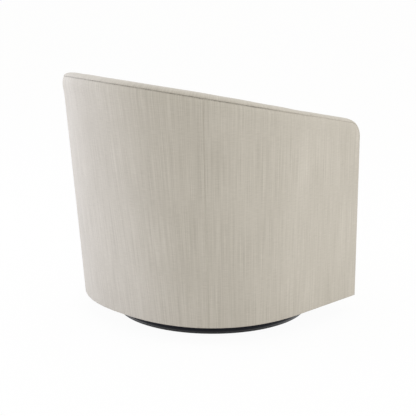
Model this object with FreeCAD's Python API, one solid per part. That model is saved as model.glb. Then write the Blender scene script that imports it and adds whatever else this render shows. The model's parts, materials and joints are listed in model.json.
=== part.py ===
import FreeCAD, Part
import math
import os
from FreeCAD import Vector

# Upholstered swivel barrel chair. All sizes are in millimetres.
# +Z is up, the chair faces -Y, the sitter's left is +X, and the origin is on the floor on the swivel axis.

# Outer form of the upholstered barrel
half_width = 358.0          # swivel axis to an outside arm, at the lower edge
back_reach = 361.0          # swivel axis to the outside back, at the lower edge
curve_start = 7.0           # the straight arm ends and the round back begins at this Y
arm_reach = 233.0           # swivel axis to the arm fronts, at the lower edge
shell_bottom = 52.0         # lower edge of the upholstery above the floor
back_height = 723.0         # seam under the top band, at the middle of the back
form_margin = 37.0          # the form is drawn this far above that seam and then trimmed
side_lean = 1.1             # degrees that the outside arms lean outwards
back_rake = 8.4             # degrees that the outside back leans backwards
arm_front_lean = 1.0        # degrees that the arm fronts lean backwards
top_slope = 13.1            # degrees that the top edge falls towards the arm fronts
arm_corner_radius = 50.0    # rounding between the top edge and an arm front
low_fullness = 2.34         # exponent of the plan curve at the lower edge: 2 is an ellipse
high_fullness = 2.06        # exponent of the plan curve at the top
plan_points = 12            # spans of the plan curve from arm to arm

# Build-up of the barrel wall, from the outside to the inside
wall_thickness = 75.0       # outside cover to inside cover, arms and top edge
cover_thickness = 2.5       # fabric with its thin wadding
panel_thickness = 3.0       # bent fibreboard under the outside covers
post_depth = 24.0           # posts, measured across the wall
post_width = 20.0           # posts, measured along the wall
rail_depth = 46.0           # top rails, measured across the wall
rail_height = 22.0
board_thickness = 18.0      # plywood of the boards
webbing_thickness = 2.0
strap_width = 48.0
strap_pitch = 92.0
strap_steps = 2             # straps each side of the middle one
strap_slack = 1.0           # level part of a strap beyond the edge of one that it crosses
strap_drop = 20.0           # length over which its end comes down to the seat frame
weave_lift = 1.1            # a strap passes this far over or under its middle height
back_strap_width = 50.0
back_strap_count = 3
back_strap_rise = 40.0      # the lowest strap round the back stands this far above the deck
back_strap_spare = 11.0     # height left over when these straps share out the back's height
back_strap_half = 268.0     # half the width that these straps cover
rail_joint_reach = 60.0     # the top rails meet this far behind the start of the curve
lumbar_thickness = 142.0    # thickness of the back wall at the deck, where it is deepest
band_crown = 13.0           # the top band stands this far above its seams
corner_steps = 3            # spans of the band round each arm corner
pad_clearance = 0.4         # between the band's padding and the frame and foam under it
wadding_thickness = 2.0     # between an arm front board and the inside cover
outer_seam = 258.0          # half distance between the two outside back seams, at the lower edge
outer_seam_lean = 1.5       # degrees that these seams spread upwards
inner_seam = 178.0          # the same for the inside back
hem_width = 24.0            # covers turned under the bottom board
hem_thickness = 1.2
dust_cover_thickness = 0.8
dust_cover_margin = 7.0

# Seat platform
seat_frame_height = 232.0   # underside of the seat frame
webbing_room = 4.5          # height for the woven straps between the seat frame and the deck padding
ledge_width = 28.0          # seat frame inside the room, which the webbing is stapled to
frame_front_width = 70.0    # seat frame behind the apron face
deck_pad_thickness = 33.0

# Bowed front between the arms
apron_setback = 4.0         # the apron meets the arms this far behind their fronts
front_bow = 76.0            # the apron stands this far forwards at its middle
apron_pad_thickness = 8.0
front_rail_thickness = 12.0
block_size = 45.0           # glue blocks behind the front rail
block_width = 20.0
block_pitch = 80.0
block_count = 4
board_hole_margin = 25.0    # openings in the bottom board, to the mounting board and to the wall
board_hole_half = 130.0     # half the length of these openings

# Loose seat cushion
cushion_gap = 2.0           # to the inside arms and back
cushion_rest_gap = 0.5
cushion_nose = 8.0          # the cushion stands this far in front of the apron
cushion_height = 140.0      # between the deck and the top seam
cushion_crown = 22.0
crown_spread = 200.0        # the crown rises over this distance from the top seam
crown_steps = (0.0, 0.08, 0.24, 0.5, 0.8)
cushion_waist = 6.0         # sides drawn in between the seams
cushion_edge = 11.0         # rounding below the lower seam

# Ring base
ring_radius = 276.0         # to the middle of the tube
tube_radius = 12.5
tube_wall = 1.5
strip_half_width = 6.0      # floor strip under the tube
strip_thickness = 2.0
ring_joint_angle = 94.0     # where the two ends of the rolled tube meet
ring_joint_gap = 1.2
sleeve_length = 60.0
sleeve_clearance = 0.1
cross_bar_width = 50.0
cross_bar_thickness = 8.0
cross_bar_height = 12.0     # underside of the bars

# Ball bearing swivel
plate_edge = 25.0           # bolt centre to the edge of a swivel plate
plate_corner = 18.0
plate_thickness = 3.0
race_radius = 70.0          # ball circle
race_width = 24.0
ball_radius = 6.0
ball_count = 12
groove_clearance = 0.3
race_gap = 4.0
cage_thickness = 2.0
cage_width = 18.0
pocket_clearance = 0.4
pin_radius = 10.0
pin_flange_radius = 17.0
pin_flange_thickness = 3.0
running_clearance = 0.05
bush_wall = 4.0
bush_overhang = 2.0         # the bush reaches this far below the lower plate
bush_collar = 2.0           # its collar, across and along
washer_thickness = 2.0
clip_thickness = 1.6
clip_depth = 1.5
clip_play = 0.4
mount_board_edge = 20.0     # edge of a swivel plate to the edge of the mounting board
mount_board_thickness = 9.0

# Fasteners
bolt_radius = 4.0
bolt_margin = 17.0          # edge of a race to the centre of a bolt
head_radius = 7.5
head_height = 5.3
nut_height = 6.5
hole_clearance = 0.4
tee_nut_radius = 11.0
tee_nut_flange = 1.5
screw_radius = 2.5
screw_head_radius = 5.0
screw_length = 48.0
screw_sink = 1.0            # screw heads below the top of the rail

# Worked out from the sizes above
form_top = back_height + form_margin
front_side = arm_reach - apron_setback
front_reach = front_side + front_bow
deck_height = seat_frame_height + board_thickness + webbing_room + deck_pad_thickness + cover_thickness
back_strap_low = deck_height + back_strap_rise
back_strap_pitch = (back_height - rail_height - deck_height - back_strap_spare) / (back_strap_count + 1)
bolt_spacing = (race_radius + race_width / 2 + bolt_margin) * math.sqrt(2)
base_bolt_reach = (pin_flange_radius + race_radius - race_width / 2) / 2
plate_side = bolt_spacing + 2 * plate_edge
mount_board_side = plate_side + 2 * mount_board_edge
seam_reach = back_reach + (back_height - shell_bottom) * math.tan(math.radians(back_rake))
frame_inset = cover_thickness + panel_thickness
webbing_inset = frame_inset + post_depth
foam_inset = webbing_inset + webbing_thickness
ring_centre_height = strip_thickness + tube_radius
plate_low = cross_bar_height + cross_bar_thickness
cover_low = shell_bottom + dust_cover_thickness
board_low = cover_low + hem_thickness
board_high = board_low + board_thickness
apron_inset = cover_thickness + apron_pad_thickness
plate_high = board_low - mount_board_thickness
ball_height = (plate_low + plate_high) / 2
OPEN_END = 600.0            # the form runs this far forwards before its arm fronts are trimmed
FAR = 900.0                 # past every piece


def tangent(degrees):
    return math.tan(math.radians(degrees))


def turned(shape, degrees):
    copy = shape.copy()
    copy.rotate(Vector(0, 0, 0), Vector(0, 0, 1), degrees)
    return copy


def mirrored(shape):
    return shape.mirror(Vector(0, 0, 0), Vector(1, 0, 0))


def block(x0, x1, y0, y1, z0, z1):
    return Part.makeBox(x1 - x0, y1 - y0, z1 - z0, Vector(x0, y0, z0))


def layer(z0, z1):
    return block(-FAR, FAR, -FAR, FAR, z0, z1)


def prism(points, direction):
    wire = Part.makePolygon(points + points[:1])
    return Part.Face(wire).extrude(direction)


def washer(outer, inner, z0, z1, x=0, y=0):
    place = Vector(x, y, z0)
    return Part.makeCylinder(outer, z1 - z0, place).cut(Part.makeCylinder(inner, z1 - z0, place))


def group(shapes):
    return Part.makeCompound(shapes)


# Barrel form: a raked, softly squared half oval with straight arms
def half_at(z, inset):
    return half_width + (z - shell_bottom) * tangent(side_lean) - inset


def reach_at(z, inset):
    return back_reach + (z - shell_bottom) * tangent(back_rake) - inset


def fullness_at(z):
    share = (z - shell_bottom) / (form_top - shell_bottom)
    return low_fullness + (high_fullness - low_fullness) * share


def plan_places(z, side_inset, back_inset):
    """Points of the round back at one height, from the left arm to the right arm."""
    half = half_at(z, side_inset)
    reach = reach_at(z, back_inset) - curve_start
    power = 2 / fullness_at(z)
    places = []
    for step in range(plan_points + 1):
        angle = math.pi * step / plan_points
        across = math.copysign(abs(math.cos(angle)) ** power, math.cos(angle))
        along = abs(math.sin(angle)) ** power if 0 < step < plan_points else 0.0
        places.append(Vector(half * across, curve_start + reach * along, z))
    return places


def plan_curve(z, side_inset, back_inset):
    curve = Part.BSplineCurve()
    curve.interpolate(
        Points=plan_places(z, side_inset, back_inset),
        Parameters=[step / plan_points for step in range(plan_points + 1)],
    )
    return curve.toShape(), half_at(z, side_inset)


def barrel_section(z, side_inset, back_inset):
    curve, half = plan_curve(z, side_inset, back_inset)
    corners = [Vector(-half, curve_start, z), Vector(-half, -OPEN_END, z),
               Vector(half, -OPEN_END, z), Vector(half, curve_start, z)]
    straight = [Part.makeLine(a, b) for a, b in zip(corners, corners[1:])]
    return Part.Wire([curve] + straight)


def barrel(inset, back_low=None, back_high=None):
    low = barrel_section(shell_bottom, inset, inset if back_low is None else back_low)
    high = barrel_section(form_top, inset, inset if back_high is None else back_high)
    return Part.makeLoft([low, high], True, True)


def shell_layer(outer_inset, inner_inset, *trims):
    """Part of the wall between two insets. The trims go first, which keeps thin layers sound."""
    wall = barrel(outer_inset)
    for trim in trims:
        wall = wall.common(trim)
    return wall.cut(barrel(inner_inset))


# Side profile: the sloping top edge, the rounded corner and the arm front, moved outwards by an offset
def profile_frame():
    slope = math.radians(top_slope)
    lean = math.radians(arm_front_lean)
    top_normal = Vector(0, -math.sin(slope), math.cos(slope))
    front_normal = Vector(0, -math.cos(lean), math.sin(lean))
    top_point = Vector(0, seam_reach, back_height) - top_normal * arm_corner_radius
    front_point = Vector(0, -arm_reach, shell_bottom) - front_normal * arm_corner_radius
    top_run = Vector(0, math.cos(slope), math.sin(slope))
    front_run = Vector(0, math.sin(lean), math.cos(lean))
    gap = front_point - top_point
    cross = top_run.y * front_run.z - top_run.z * front_run.y
    travel = (gap.y * front_run.z - gap.z * front_run.y) / cross
    return top_point + top_run * travel, top_normal, front_normal, top_run, front_run


def side_profile(offset):
    centre, top_normal, front_normal, top_run, front_run = profile_frame()
    radius = arm_corner_radius + offset
    top_start = centre + top_normal * radius
    front_end = centre + front_normal * radius
    middle = centre + (top_normal + front_normal).normalize() * radius
    top_end = top_start + top_run * (FAR / top_run.y)
    front_start = front_end - front_run * ((front_end.z + FAR) / front_run.z)
    corner = Vector(0, top_end.y, front_start.z)
    wire = Part.Wire([
        Part.makeLine(front_start, front_end),
        Part.Arc(front_end, middle, top_start).toShape(),
        Part.makeLine(top_start, top_end),
        Part.makeLine(top_end, corner),
        Part.makeLine(corner, front_start),
    ])
    face = Part.Face(wire)
    face.translate(Vector(-FAR, 0, 0))
    return face.extrude(Vector(2 * FAR, 0, 0))


def band_layer(high_offset, low_offset):
    return side_profile(high_offset).cut(side_profile(low_offset))


# Zones that split the wall into back, left arm and right arm
def back_zone(half, lean):
    spread = half + (form_top - shell_bottom) * tangent(lean)
    corners = [Vector(-half, 0, shell_bottom), Vector(half, 0, shell_bottom),
               Vector(spread, 0, form_top), Vector(-spread, 0, form_top)]
    return prism(corners, Vector(0, FAR, 0))


def side_zone(sign):
    return block(min(0, sign * FAR), max(0, sign * FAR), -FAR, FAR, 0, FAR)


def split_wall(body, hollow, seam, lean, names):
    """Back, left arm and right arm of a wall: the body is split first and then hollowed."""
    middle = back_zone(seam, lean)
    arms = body.cut(middle)
    return {
        names[0]: body.common(middle).cut(hollow),
        names[1]: arms.common(side_zone(1)).cut(hollow),
        names[2]: arms.common(side_zone(-1)).cut(hollow),
    }


# Bowed front: concentric arcs between the arms
def front_arc():
    half = half_at(shell_bottom, wall_thickness)
    bow = front_reach - front_side
    radius = (half ** 2 + bow ** 2) / (2 * bow)
    return radius, radius - front_reach


def front_cylinder(inset):
    radius, centre = front_arc()
    return Part.makeCylinder(radius - inset, FAR, Vector(0, centre, 0))


def room(inset):
    return barrel(inset, lumbar_thickness + inset - wall_thickness, inset)


def bowed_front(outer_inset, inner_inset, z0, z1):
    curved = front_cylinder(outer_inset).cut(front_cylinder(inner_inset))
    ahead = block(-FAR, FAR, -FAR, 0, z0, z1)
    return curved.common(ahead).common(barrel(wall_thickness))


def seat_plan(outer_inset, front_inset, z0, z1):
    """Full seat outline: the wall with its arm fronts, and the room between the arms with its bowed front."""
    arms = shell_layer(outer_inset, wall_thickness, side_profile(-front_inset), layer(z0, z1))
    nose = barrel(wall_thickness).common(layer(z0, z1)).common(front_cylinder(front_inset))
    return arms.fuse(nose).removeSplitter()


# Ring base
def ring_tube(radius):
    return Part.makeTorus(ring_radius, radius, Vector(0, 0, ring_centre_height))


def base_ring():
    tube = ring_tube(tube_radius).cut(ring_tube(tube_radius - tube_wall))
    reach = ring_radius + 2 * tube_radius
    slot = block(0, reach, -ring_joint_gap / 2, ring_joint_gap / 2, 0, 2 * ring_centre_height)
    return tube.cut(turned(slot, ring_joint_angle))


def ring_joint_sleeve():
    radius = tube_radius - tube_wall - sleeve_clearance
    sweep = math.degrees(sleeve_length / ring_radius)
    plug = Part.makeTorus(ring_radius, radius, Vector(0, 0, ring_centre_height),
                          Vector(0, 0, 1), 0, 360, sweep)
    return turned(plug, ring_joint_angle - sweep / 2)


def floor_strip():
    blank = washer(ring_radius + strip_half_width, ring_radius - strip_half_width,
                   0, ring_centre_height)
    return blank.cut(ring_tube(tube_radius))


def cross_bars():
    """Two bars in one plane, welded at the middle and to the inside of the ring."""
    half = cross_bar_width / 2
    bar = block(-ring_radius, ring_radius, -half, half, cross_bar_height, plate_low)
    bars = bar.fuse(turned(bar, 90)).removeSplitter().cut(ring_tube(tube_radius))
    centre_hole = Part.makeCylinder(pin_flange_radius + hole_clearance, FAR)
    return bars.cut(centre_hole).cut(base_bolt_shanks(hole_clearance))


# Swivel plates, bearing and pin
def rounded_square(side, corner, z0, z1):
    half = side / 2
    plate = block(-half, half, -half, half, z0, z1)
    upright = [e for e in plate.Edges if e.Vertexes[0].Z != e.Vertexes[1].Z]
    return plate.makeFillet(corner, upright)


def square_places(spacing):
    half = spacing / 2
    return [Vector(x, y, 0) for x in (-half, half) for y in (-half, half)]


def base_bolt_places():
    reach = base_bolt_reach
    return [Vector(reach, 0, 0), Vector(-reach, 0, 0), Vector(0, reach, 0), Vector(0, -reach, 0)]


def base_bolt_shanks(clearance):
    low = cross_bar_height - nut_height
    high = plate_low + plate_thickness
    return group([Part.makeCylinder(bolt_radius + clearance, high - low, place + Vector(0, 0, low))
                  for place in base_bolt_places()])


def hexagon(radius, z0, z1, place):
    points = [Vector(place.x + radius * math.cos(math.radians(a)),
                     place.y + radius * math.sin(math.radians(a)), z0) for a in range(0, 360, 60)]
    return prism(points, Vector(0, 0, z1 - z0))


def base_bolts():
    top = plate_low + plate_thickness
    low = cross_bar_height - nut_height
    bolts = []
    for place in base_bolt_places():
        shank = Part.makeCylinder(bolt_radius, top - low, place + Vector(0, 0, low))
        bolts.append(shank.fuse(hexagon(head_radius, top, top + head_height, place)))
    return group(bolts)


def base_nuts():
    low = cross_bar_height - nut_height
    return group([hexagon(head_radius, low, cross_bar_height, place).cut(
        Part.makeCylinder(bolt_radius, nut_height, place + Vector(0, 0, low)))
        for place in base_bolt_places()])


def lower_swivel_plate():
    plate = rounded_square(plate_side, plate_corner, plate_low, plate_low + plate_thickness)
    plate = plate.cut(Part.makeCylinder(pin_radius + running_clearance + bush_wall, FAR))
    tool_holes = group([Part.makeCylinder(head_radius + hole_clearance, FAR, place)
                        for place in square_places(bolt_spacing)])
    return plate.cut(base_bolt_shanks(0)).cut(tool_holes)


def upper_swivel_plate():
    plate = rounded_square(plate_side, plate_corner, plate_high - plate_thickness, plate_high)
    plate = plate.cut(Part.makeCylinder(pin_radius, FAR))
    return plate.cut(group([Part.makeCylinder(bolt_radius, FAR, place)
                            for place in square_places(bolt_spacing)]))


def race_groove():
    return Part.makeTorus(race_radius, ball_radius + groove_clearance, Vector(0, 0, ball_height))


def race(z0, z1):
    return washer(race_radius + race_width / 2, race_radius - race_width / 2, z0, z1).cut(race_groove())


def ball_places():
    return [Vector(race_radius * math.cos(2 * math.pi * i / ball_count),
                   race_radius * math.sin(2 * math.pi * i / ball_count), ball_height)
            for i in range(ball_count)]


def ball_cage():
    cage = washer(race_radius + cage_width / 2, race_radius - cage_width / 2,
                  ball_height - cage_thickness / 2, ball_height + cage_thickness / 2)
    pockets = [Part.makeCylinder(ball_radius + pocket_clearance, FAR, Vector(p.x, p.y, 0))
               for p in ball_places()]
    return cage.cut(group(pockets))


def bearing_balls():
    return group([Part.makeSphere(ball_radius, place) for place in ball_places()])


def washer_low():
    return plate_low - bush_overhang - washer_thickness


def pin_bush():
    inner = pin_radius + running_clearance
    top = plate_low + plate_thickness
    body = washer(inner + bush_wall, inner, plate_low - bush_overhang, top)
    collar = washer(inner + bush_wall + bush_collar, inner, top, top + bush_collar)
    return body.fuse(collar)


def pin_washer():
    return washer(pin_radius + running_clearance + bush_wall, pin_radius + running_clearance,
                  washer_low(), washer_low() + washer_thickness)


def clip_high():
    return washer_low() - clip_play


def swivel_pin():
    low = clip_high() - clip_thickness - clip_depth
    shank = Part.makeCylinder(pin_radius, plate_high - low, Vector(0, 0, low))
    flange = Part.makeCylinder(pin_flange_radius, pin_flange_thickness,
                               Vector(0, 0, plate_high - plate_thickness - pin_flange_thickness))
    groove = washer(FAR, pin_radius - clip_depth, clip_high() - clip_thickness, clip_high())
    return shank.fuse(flange).cut(groove)


def pin_clip():
    ring = washer(pin_radius + clip_depth, pin_radius - clip_depth,
                  clip_high() - clip_thickness, clip_high())
    mouth = block(0, 2 * pin_radius, -clip_depth, clip_depth, 0, plate_low)
    return ring.cut(mouth)


def swivel_mount_board():
    half = mount_board_side / 2
    return block(-half, half, -half, half, plate_high, board_low).cut(swivel_bolt_shanks())


def swivel_bolt_shanks():
    low = plate_high - plate_thickness
    high = board_high
    return group([Part.makeCylinder(bolt_radius, high - low, place + Vector(0, 0, low))
                  for place in square_places(bolt_spacing)])


def swivel_bolts():
    low = plate_high - plate_thickness
    high = board_high
    bolts = []
    for place in square_places(bolt_spacing):
        shank = Part.makeCylinder(bolt_radius, high - low, place + Vector(0, 0, low))
        bolts.append(shank.fuse(hexagon(head_radius, low - head_height, low, place)))
    return group(bolts)


def tee_nuts():
    z = board_high
    return group([washer(tee_nut_radius, bolt_radius, z, z + tee_nut_flange, place.x, place.y)
                  for place in square_places(bolt_spacing)])


# Wooden frame
def frame_zone(*trims):
    return shell_layer(frame_inset, webbing_inset, *trims)


def post_block(angle):
    plank = block(0, FAR, -post_width / 2, post_width / 2, 0, FAR)
    return turned(plank, angle)


def post_places():
    """Name of each post with the angle of its plank, seen from above, from the sitter's left."""
    return {
        "back_post_centre": 90,
        "back_post_left": 66,
        "back_post_right": 114,
        "corner_post_left": 42,
        "corner_post_right": 138,
        "arm_post_left": 12,
        "arm_post_right": 168,
    }


def frame_posts():
    zone = frame_zone(side_profile(-pad_clearance - rail_height), layer(board_high, FAR))
    return {name: zone.common(post_block(angle)) for name, angle in post_places().items()}


def arm_front_board(sign):
    ahead = block(-FAR, FAR, -FAR, profile_frame()[0].y, board_high, FAR)
    slab = band_layer(-pad_clearance, -pad_clearance - board_thickness).common(ahead).common(side_zone(sign))
    return shell_layer(frame_inset, wall_thickness - cover_thickness - wadding_thickness, slab)


def top_rails():
    behind = block(-FAR, FAR, profile_frame()[0].y, FAR, 0, FAR)
    slab = band_layer(-pad_clearance, -pad_clearance - rail_height).common(behind)
    zone = shell_layer(frame_inset, frame_inset + rail_depth, slab)
    joint = curve_start + rail_joint_reach
    return {
        "back_top_rail": zone.common(block(-FAR, FAR, joint, FAR, 0, FAR)),
        "arm_rail_left": zone.common(block(0, FAR, -FAR, joint, 0, FAR)),
        "arm_rail_right": zone.common(block(-FAR, 0, -FAR, joint, 0, FAR)),
    }


def bottom_board():
    board = seat_plan(frame_inset, apron_inset, board_low, board_high)
    start = mount_board_side / 2 + board_hole_margin
    end = half_width - wall_thickness - board_hole_margin
    hole = block(start, end, -board_hole_half, board_hole_half, 0, FAR)
    return board.cut(hole).cut(mirrored(hole)).cut(swivel_bolt_shanks())


def seat_frame():
    frame = seat_plan(frame_inset, apron_inset, seat_frame_height, seat_frame_height + board_thickness)
    opening = room(wall_thickness + ledge_width).common(front_cylinder(frame_front_width))
    return frame.cut(opening)


def front_rail():
    return bowed_front(apron_inset, apron_inset + front_rail_thickness, board_high, seat_frame_height)


def corner_blocks():
    """Three-cornered glue blocks between the bottom board and the back of the front rail."""
    radius, centre = front_arc()
    rail_radius = radius - apron_inset - front_rail_thickness
    half = block_width / 2
    blocks = []
    for i in range(block_count):
        x = (i - (block_count - 1) / 2) * block_pitch
        face = centre - math.sqrt(rail_radius ** 2 - (abs(x) + half) ** 2)
        corners = [Vector(x - half, face, board_high), Vector(x - half, face + block_size, board_high),
                   Vector(x - half, face, board_high + block_size)]
        blocks.append(prism(corners, Vector(block_width, 0, 0)))
    return group(blocks)


# Webbing
def strap(first_up, z):
    """Side view of a flat strap that passes over and under the straps it crosses, with its ends at z."""
    half = strap_width / 2 + strap_slack
    end = strap_steps * strap_pitch + half + strap_drop
    low = [Vector(-FAR, 0, z), Vector(-end, 0, z)]
    for i in range(-strap_steps, strap_steps + 1):
        height = z + (2 * weave_lift if first_up else 0)
        first_up = not first_up
        low += [Vector(i * strap_pitch - half, 0, height), Vector(i * strap_pitch + half, 0, height)]
    low += [Vector(end, 0, z), Vector(FAR, 0, z)]
    high = [p + Vector(0, 0, webbing_thickness) for p in reversed(low)]
    flat = prism(low + high, Vector(0, strap_width, 0))
    flat.translate(Vector(0, -strap_width / 2, 0))
    return flat


def seat_webbing():
    """Two sets of straps woven through each other, their ends on the ledge of the seat frame."""
    z = seat_frame_height + board_thickness
    inside = room(wall_thickness + webbing_thickness).common(
        front_cylinder(apron_inset + front_rail_thickness))
    solids = []
    for i in range(-strap_steps, strap_steps + 1):
        across = strap(i % 2 == 0, z)
        across.translate(Vector(0, i * strap_pitch, 0))
        along = turned(strap(i % 2 != 0, z), 90)
        along.translate(Vector(i * strap_pitch, 0, 0))
        solids += [across.common(inside), along.common(inside)]
    return group(solids)


def back_webbing():
    lows = [back_strap_low + i * back_strap_pitch for i in range(back_strap_count)]
    return group([shell_layer(webbing_inset, foam_inset, layer(z, z + back_strap_width),
                              back_zone(back_strap_half, 0)) for z in lows])


# Upholstery
def outside_covers():
    """Fabric over the panels, turned under the bottom board as a hem."""
    body = barrel(0).common(side_profile(0)).common(layer(cover_low, FAR))
    inner = barrel(cover_thickness).common(layer(board_low, FAR))
    inner = inner.fuse(barrel(hem_width).common(layer(0, board_low)))
    names = ("outside_back_cover", "outside_arm_cover_left", "outside_arm_cover_right")
    return split_wall(body, inner, outer_seam, outer_seam_lean, names)


def outside_panels():
    body = barrel(cover_thickness).common(side_profile(-pad_clearance)).common(layer(board_low, FAR))
    names = ("outside_back_panel", "outside_arm_panel_left", "outside_arm_panel_right")
    return split_wall(body, barrel(frame_inset), outer_seam, outer_seam_lean, names)


def inside_foam():
    low = layer(seat_frame_height + board_thickness, FAR)
    body = barrel(foam_inset).common(side_profile(-pad_clearance)).common(low)
    body = body.cut(group(list(top_rails().values()) + [arm_front_board(1), arm_front_board(-1)]))
    names = ("inside_back_foam", "inside_arm_foam_left", "inside_arm_foam_right")
    return split_wall(body, room(wall_thickness - cover_thickness), inner_seam, 0, names)


def inside_covers():
    low = layer(seat_frame_height + board_thickness, FAR)
    body = room(wall_thickness - cover_thickness).common(side_profile(0)).common(low)
    names = ("inside_back_cover", "inside_arm_cover_left", "inside_arm_cover_right")
    return split_wall(body, room(wall_thickness), inner_seam, 0, names)


# Top band: one crowned strip up an arm front, round the corner, over the back and down again
def round_station(step, inset):
    """Place on the sloping seam where the line of one plan point, at one inset, meets it."""
    low = plan_places(shell_bottom, inset, inset)[step]
    high = plan_places(form_top, inset, inset)[step]
    centre, top_normal, front_normal, top_run, front_run = profile_frame()
    level = (centre + top_normal * arm_corner_radius).dot(top_normal)
    share = (level - low.dot(top_normal)) / (high - low).dot(top_normal)
    return low + (high - low) * share


def band_section(outer, inner, normal, crown):
    """A crowned strip across the wall: flat underneath, arched on top."""
    middle = (outer + inner) * 0.5 + normal * crown
    return Part.Wire([Part.Arc(outer, middle, inner).toShape(), Part.makeLine(inner, outer)])


def corner_stations():
    """Places and directions round the corner between an arm front and the top edge."""
    centre, top_normal, front_normal, top_run, front_run = profile_frame()
    sweep = math.radians(90 - top_slope - arm_front_lean)
    stations = []
    for i in range(corner_steps + 1):
        angle = sweep * i / corner_steps
        normal = front_normal * math.sin(sweep - angle) + top_normal * math.sin(angle)
        normal = normal.normalize()
        stations.append((centre + normal * arm_corner_radius, normal))
    return stations


def arm_sections(sign, inset, crown, stations):
    sections = []
    for place, normal in stations:
        outer = Vector(sign * half_at(place.z, inset), place.y, place.z)
        inner = Vector(sign * half_at(place.z, wall_thickness - inset), place.y, place.z)
        sections.append(band_section(outer, inner, normal, crown))
    return sections


def band_form(inset, crown):
    """Round back in one loft, then for each arm its front, its corner and its straight top."""
    centre, top_normal, front_normal, top_run, front_run = profile_frame()
    foot = centre + front_normal * arm_corner_radius
    foot = foot - front_run * ((foot.z - shell_bottom) / front_run.z)
    arm_end = centre + top_normal * arm_corner_radius
    arm_end = arm_end + top_run * ((curve_start - arm_end.y) / top_run.y)
    corner = corner_stations()
    back = [band_section(round_station(step, inset), round_station(step, wall_thickness - inset),
                         top_normal, crown) for step in range(plan_points + 1)]
    pieces = [Part.makeLoft(back, True, False)]
    for sign in (1, -1):
        front = arm_sections(sign, inset, crown, [(foot, front_normal), corner[0]])
        bend = arm_sections(sign, inset, crown, corner)
        top = arm_sections(sign, inset, crown, [corner[-1], (arm_end, top_normal)])
        pieces += [Part.makeLoft(front, True, True), Part.makeLoft(bend, True, False),
                   Part.makeLoft(top, True, True)]
    return pieces[0].fuse(pieces[1:])


def top_band():
    core = band_form(cover_thickness, band_crown - cover_thickness).common(layer(board_low, FAR))
    cover = band_form(0, band_crown).common(layer(cover_low, FAR)).cut(core)
    return {"top_band_cover": cover, "top_band_pad": core}


def apron_cover():
    face = bowed_front(0, cover_thickness, cover_low, deck_height - cover_thickness)
    return face.fuse(bowed_front(0, hem_width, cover_low, board_low))


def apron_pad():
    return bowed_front(cover_thickness, apron_inset, board_low, deck_height - cover_thickness)


def deck_plan(front_inset, z0, z1):
    return room(wall_thickness).common(front_cylinder(front_inset)).common(layer(z0, z1))


def deck_pad():
    top = deck_height - cover_thickness
    return deck_plan(apron_inset, top - deck_pad_thickness, top)


def deck_cover():
    return deck_plan(0, deck_height - cover_thickness, deck_height)


def dust_cover():
    sheet = seat_plan(dust_cover_margin, dust_cover_margin, shell_bottom, cover_low)
    half = mount_board_side / 2
    return sheet.cut(block(-half, half, -half, half, 0, FAR))


# Loose seat cushion
def cushion_section(z, inset):
    back_inset = lumbar_thickness - (lumbar_thickness - wall_thickness) * (
        (z - shell_bottom) / (form_top - shell_bottom))
    curve, half = plan_curve(z, wall_thickness + cushion_gap + inset,
                             back_inset + cushion_gap + inset)
    radius, centre = front_arc()
    bow = radius + cushion_nose - inset
    corner = centre - math.sqrt(bow ** 2 - half ** 2)
    left = Vector(-half, corner, z)
    right = Vector(half, corner, z)
    return Part.Wire([
        curve,
        Part.makeLine(Vector(-half, curve_start, z), left),
        Part.Arc(left, Vector(0, centre - bow, z), right).toShape(),
        Part.makeLine(right, Vector(half, curve_start, z)),
    ])


def cushion_form(inset):
    low = deck_height + cushion_rest_gap + inset
    seam = deck_height + cushion_height - inset
    lower_seam = low + cushion_edge
    waist = (lower_seam + seam) / 2
    base = Part.makeLoft([cushion_section(low, inset + cushion_edge),
                          cushion_section(lower_seam, inset)], True, True)
    sides = Part.makeLoft([cushion_section(lower_seam, inset),
                           cushion_section(waist, inset + cushion_waist),
                           cushion_section(seam, inset)], True, False)
    crown = []
    for share in crown_steps:
        rise = cushion_crown * math.sqrt(1 - (1 - share) ** 2)
        crown.append(cushion_section(seam + rise, inset + share * crown_spread))
    return base.fuse(sides).fuse(Part.makeLoft(crown, True, True))


def seat_cushion():
    outer = cushion_form(0)
    core = cushion_form(cover_thickness)
    return {"seat_cushion_cover": outer.cut(core), "seat_cushion_foam": core}


def frame_screw(place, direction):
    tip = place - direction * screw_length
    shank = Part.makeCylinder(screw_radius, screw_length, tip, direction)
    head = Part.makeCone(screw_radius, screw_head_radius, screw_head_radius - screw_radius,
                         place - direction * (screw_head_radius - screw_radius), direction)
    return shank.fuse(head)


def rail_screws():
    """One screw down through the top rail into the end of each post, along the post."""
    screws = []
    for angle in post_places().values():
        middles = [frame_zone(band_layer(-depth, -depth - 1), post_block(angle)).CenterOfGravity
                   for depth in (pad_clearance, pad_clearance + screw_length)]
        along = (middles[0] - middles[1]).normalize()
        screws.append(frame_screw(middles[0] - along * screw_sink, along))
    return group(screws)


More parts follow.
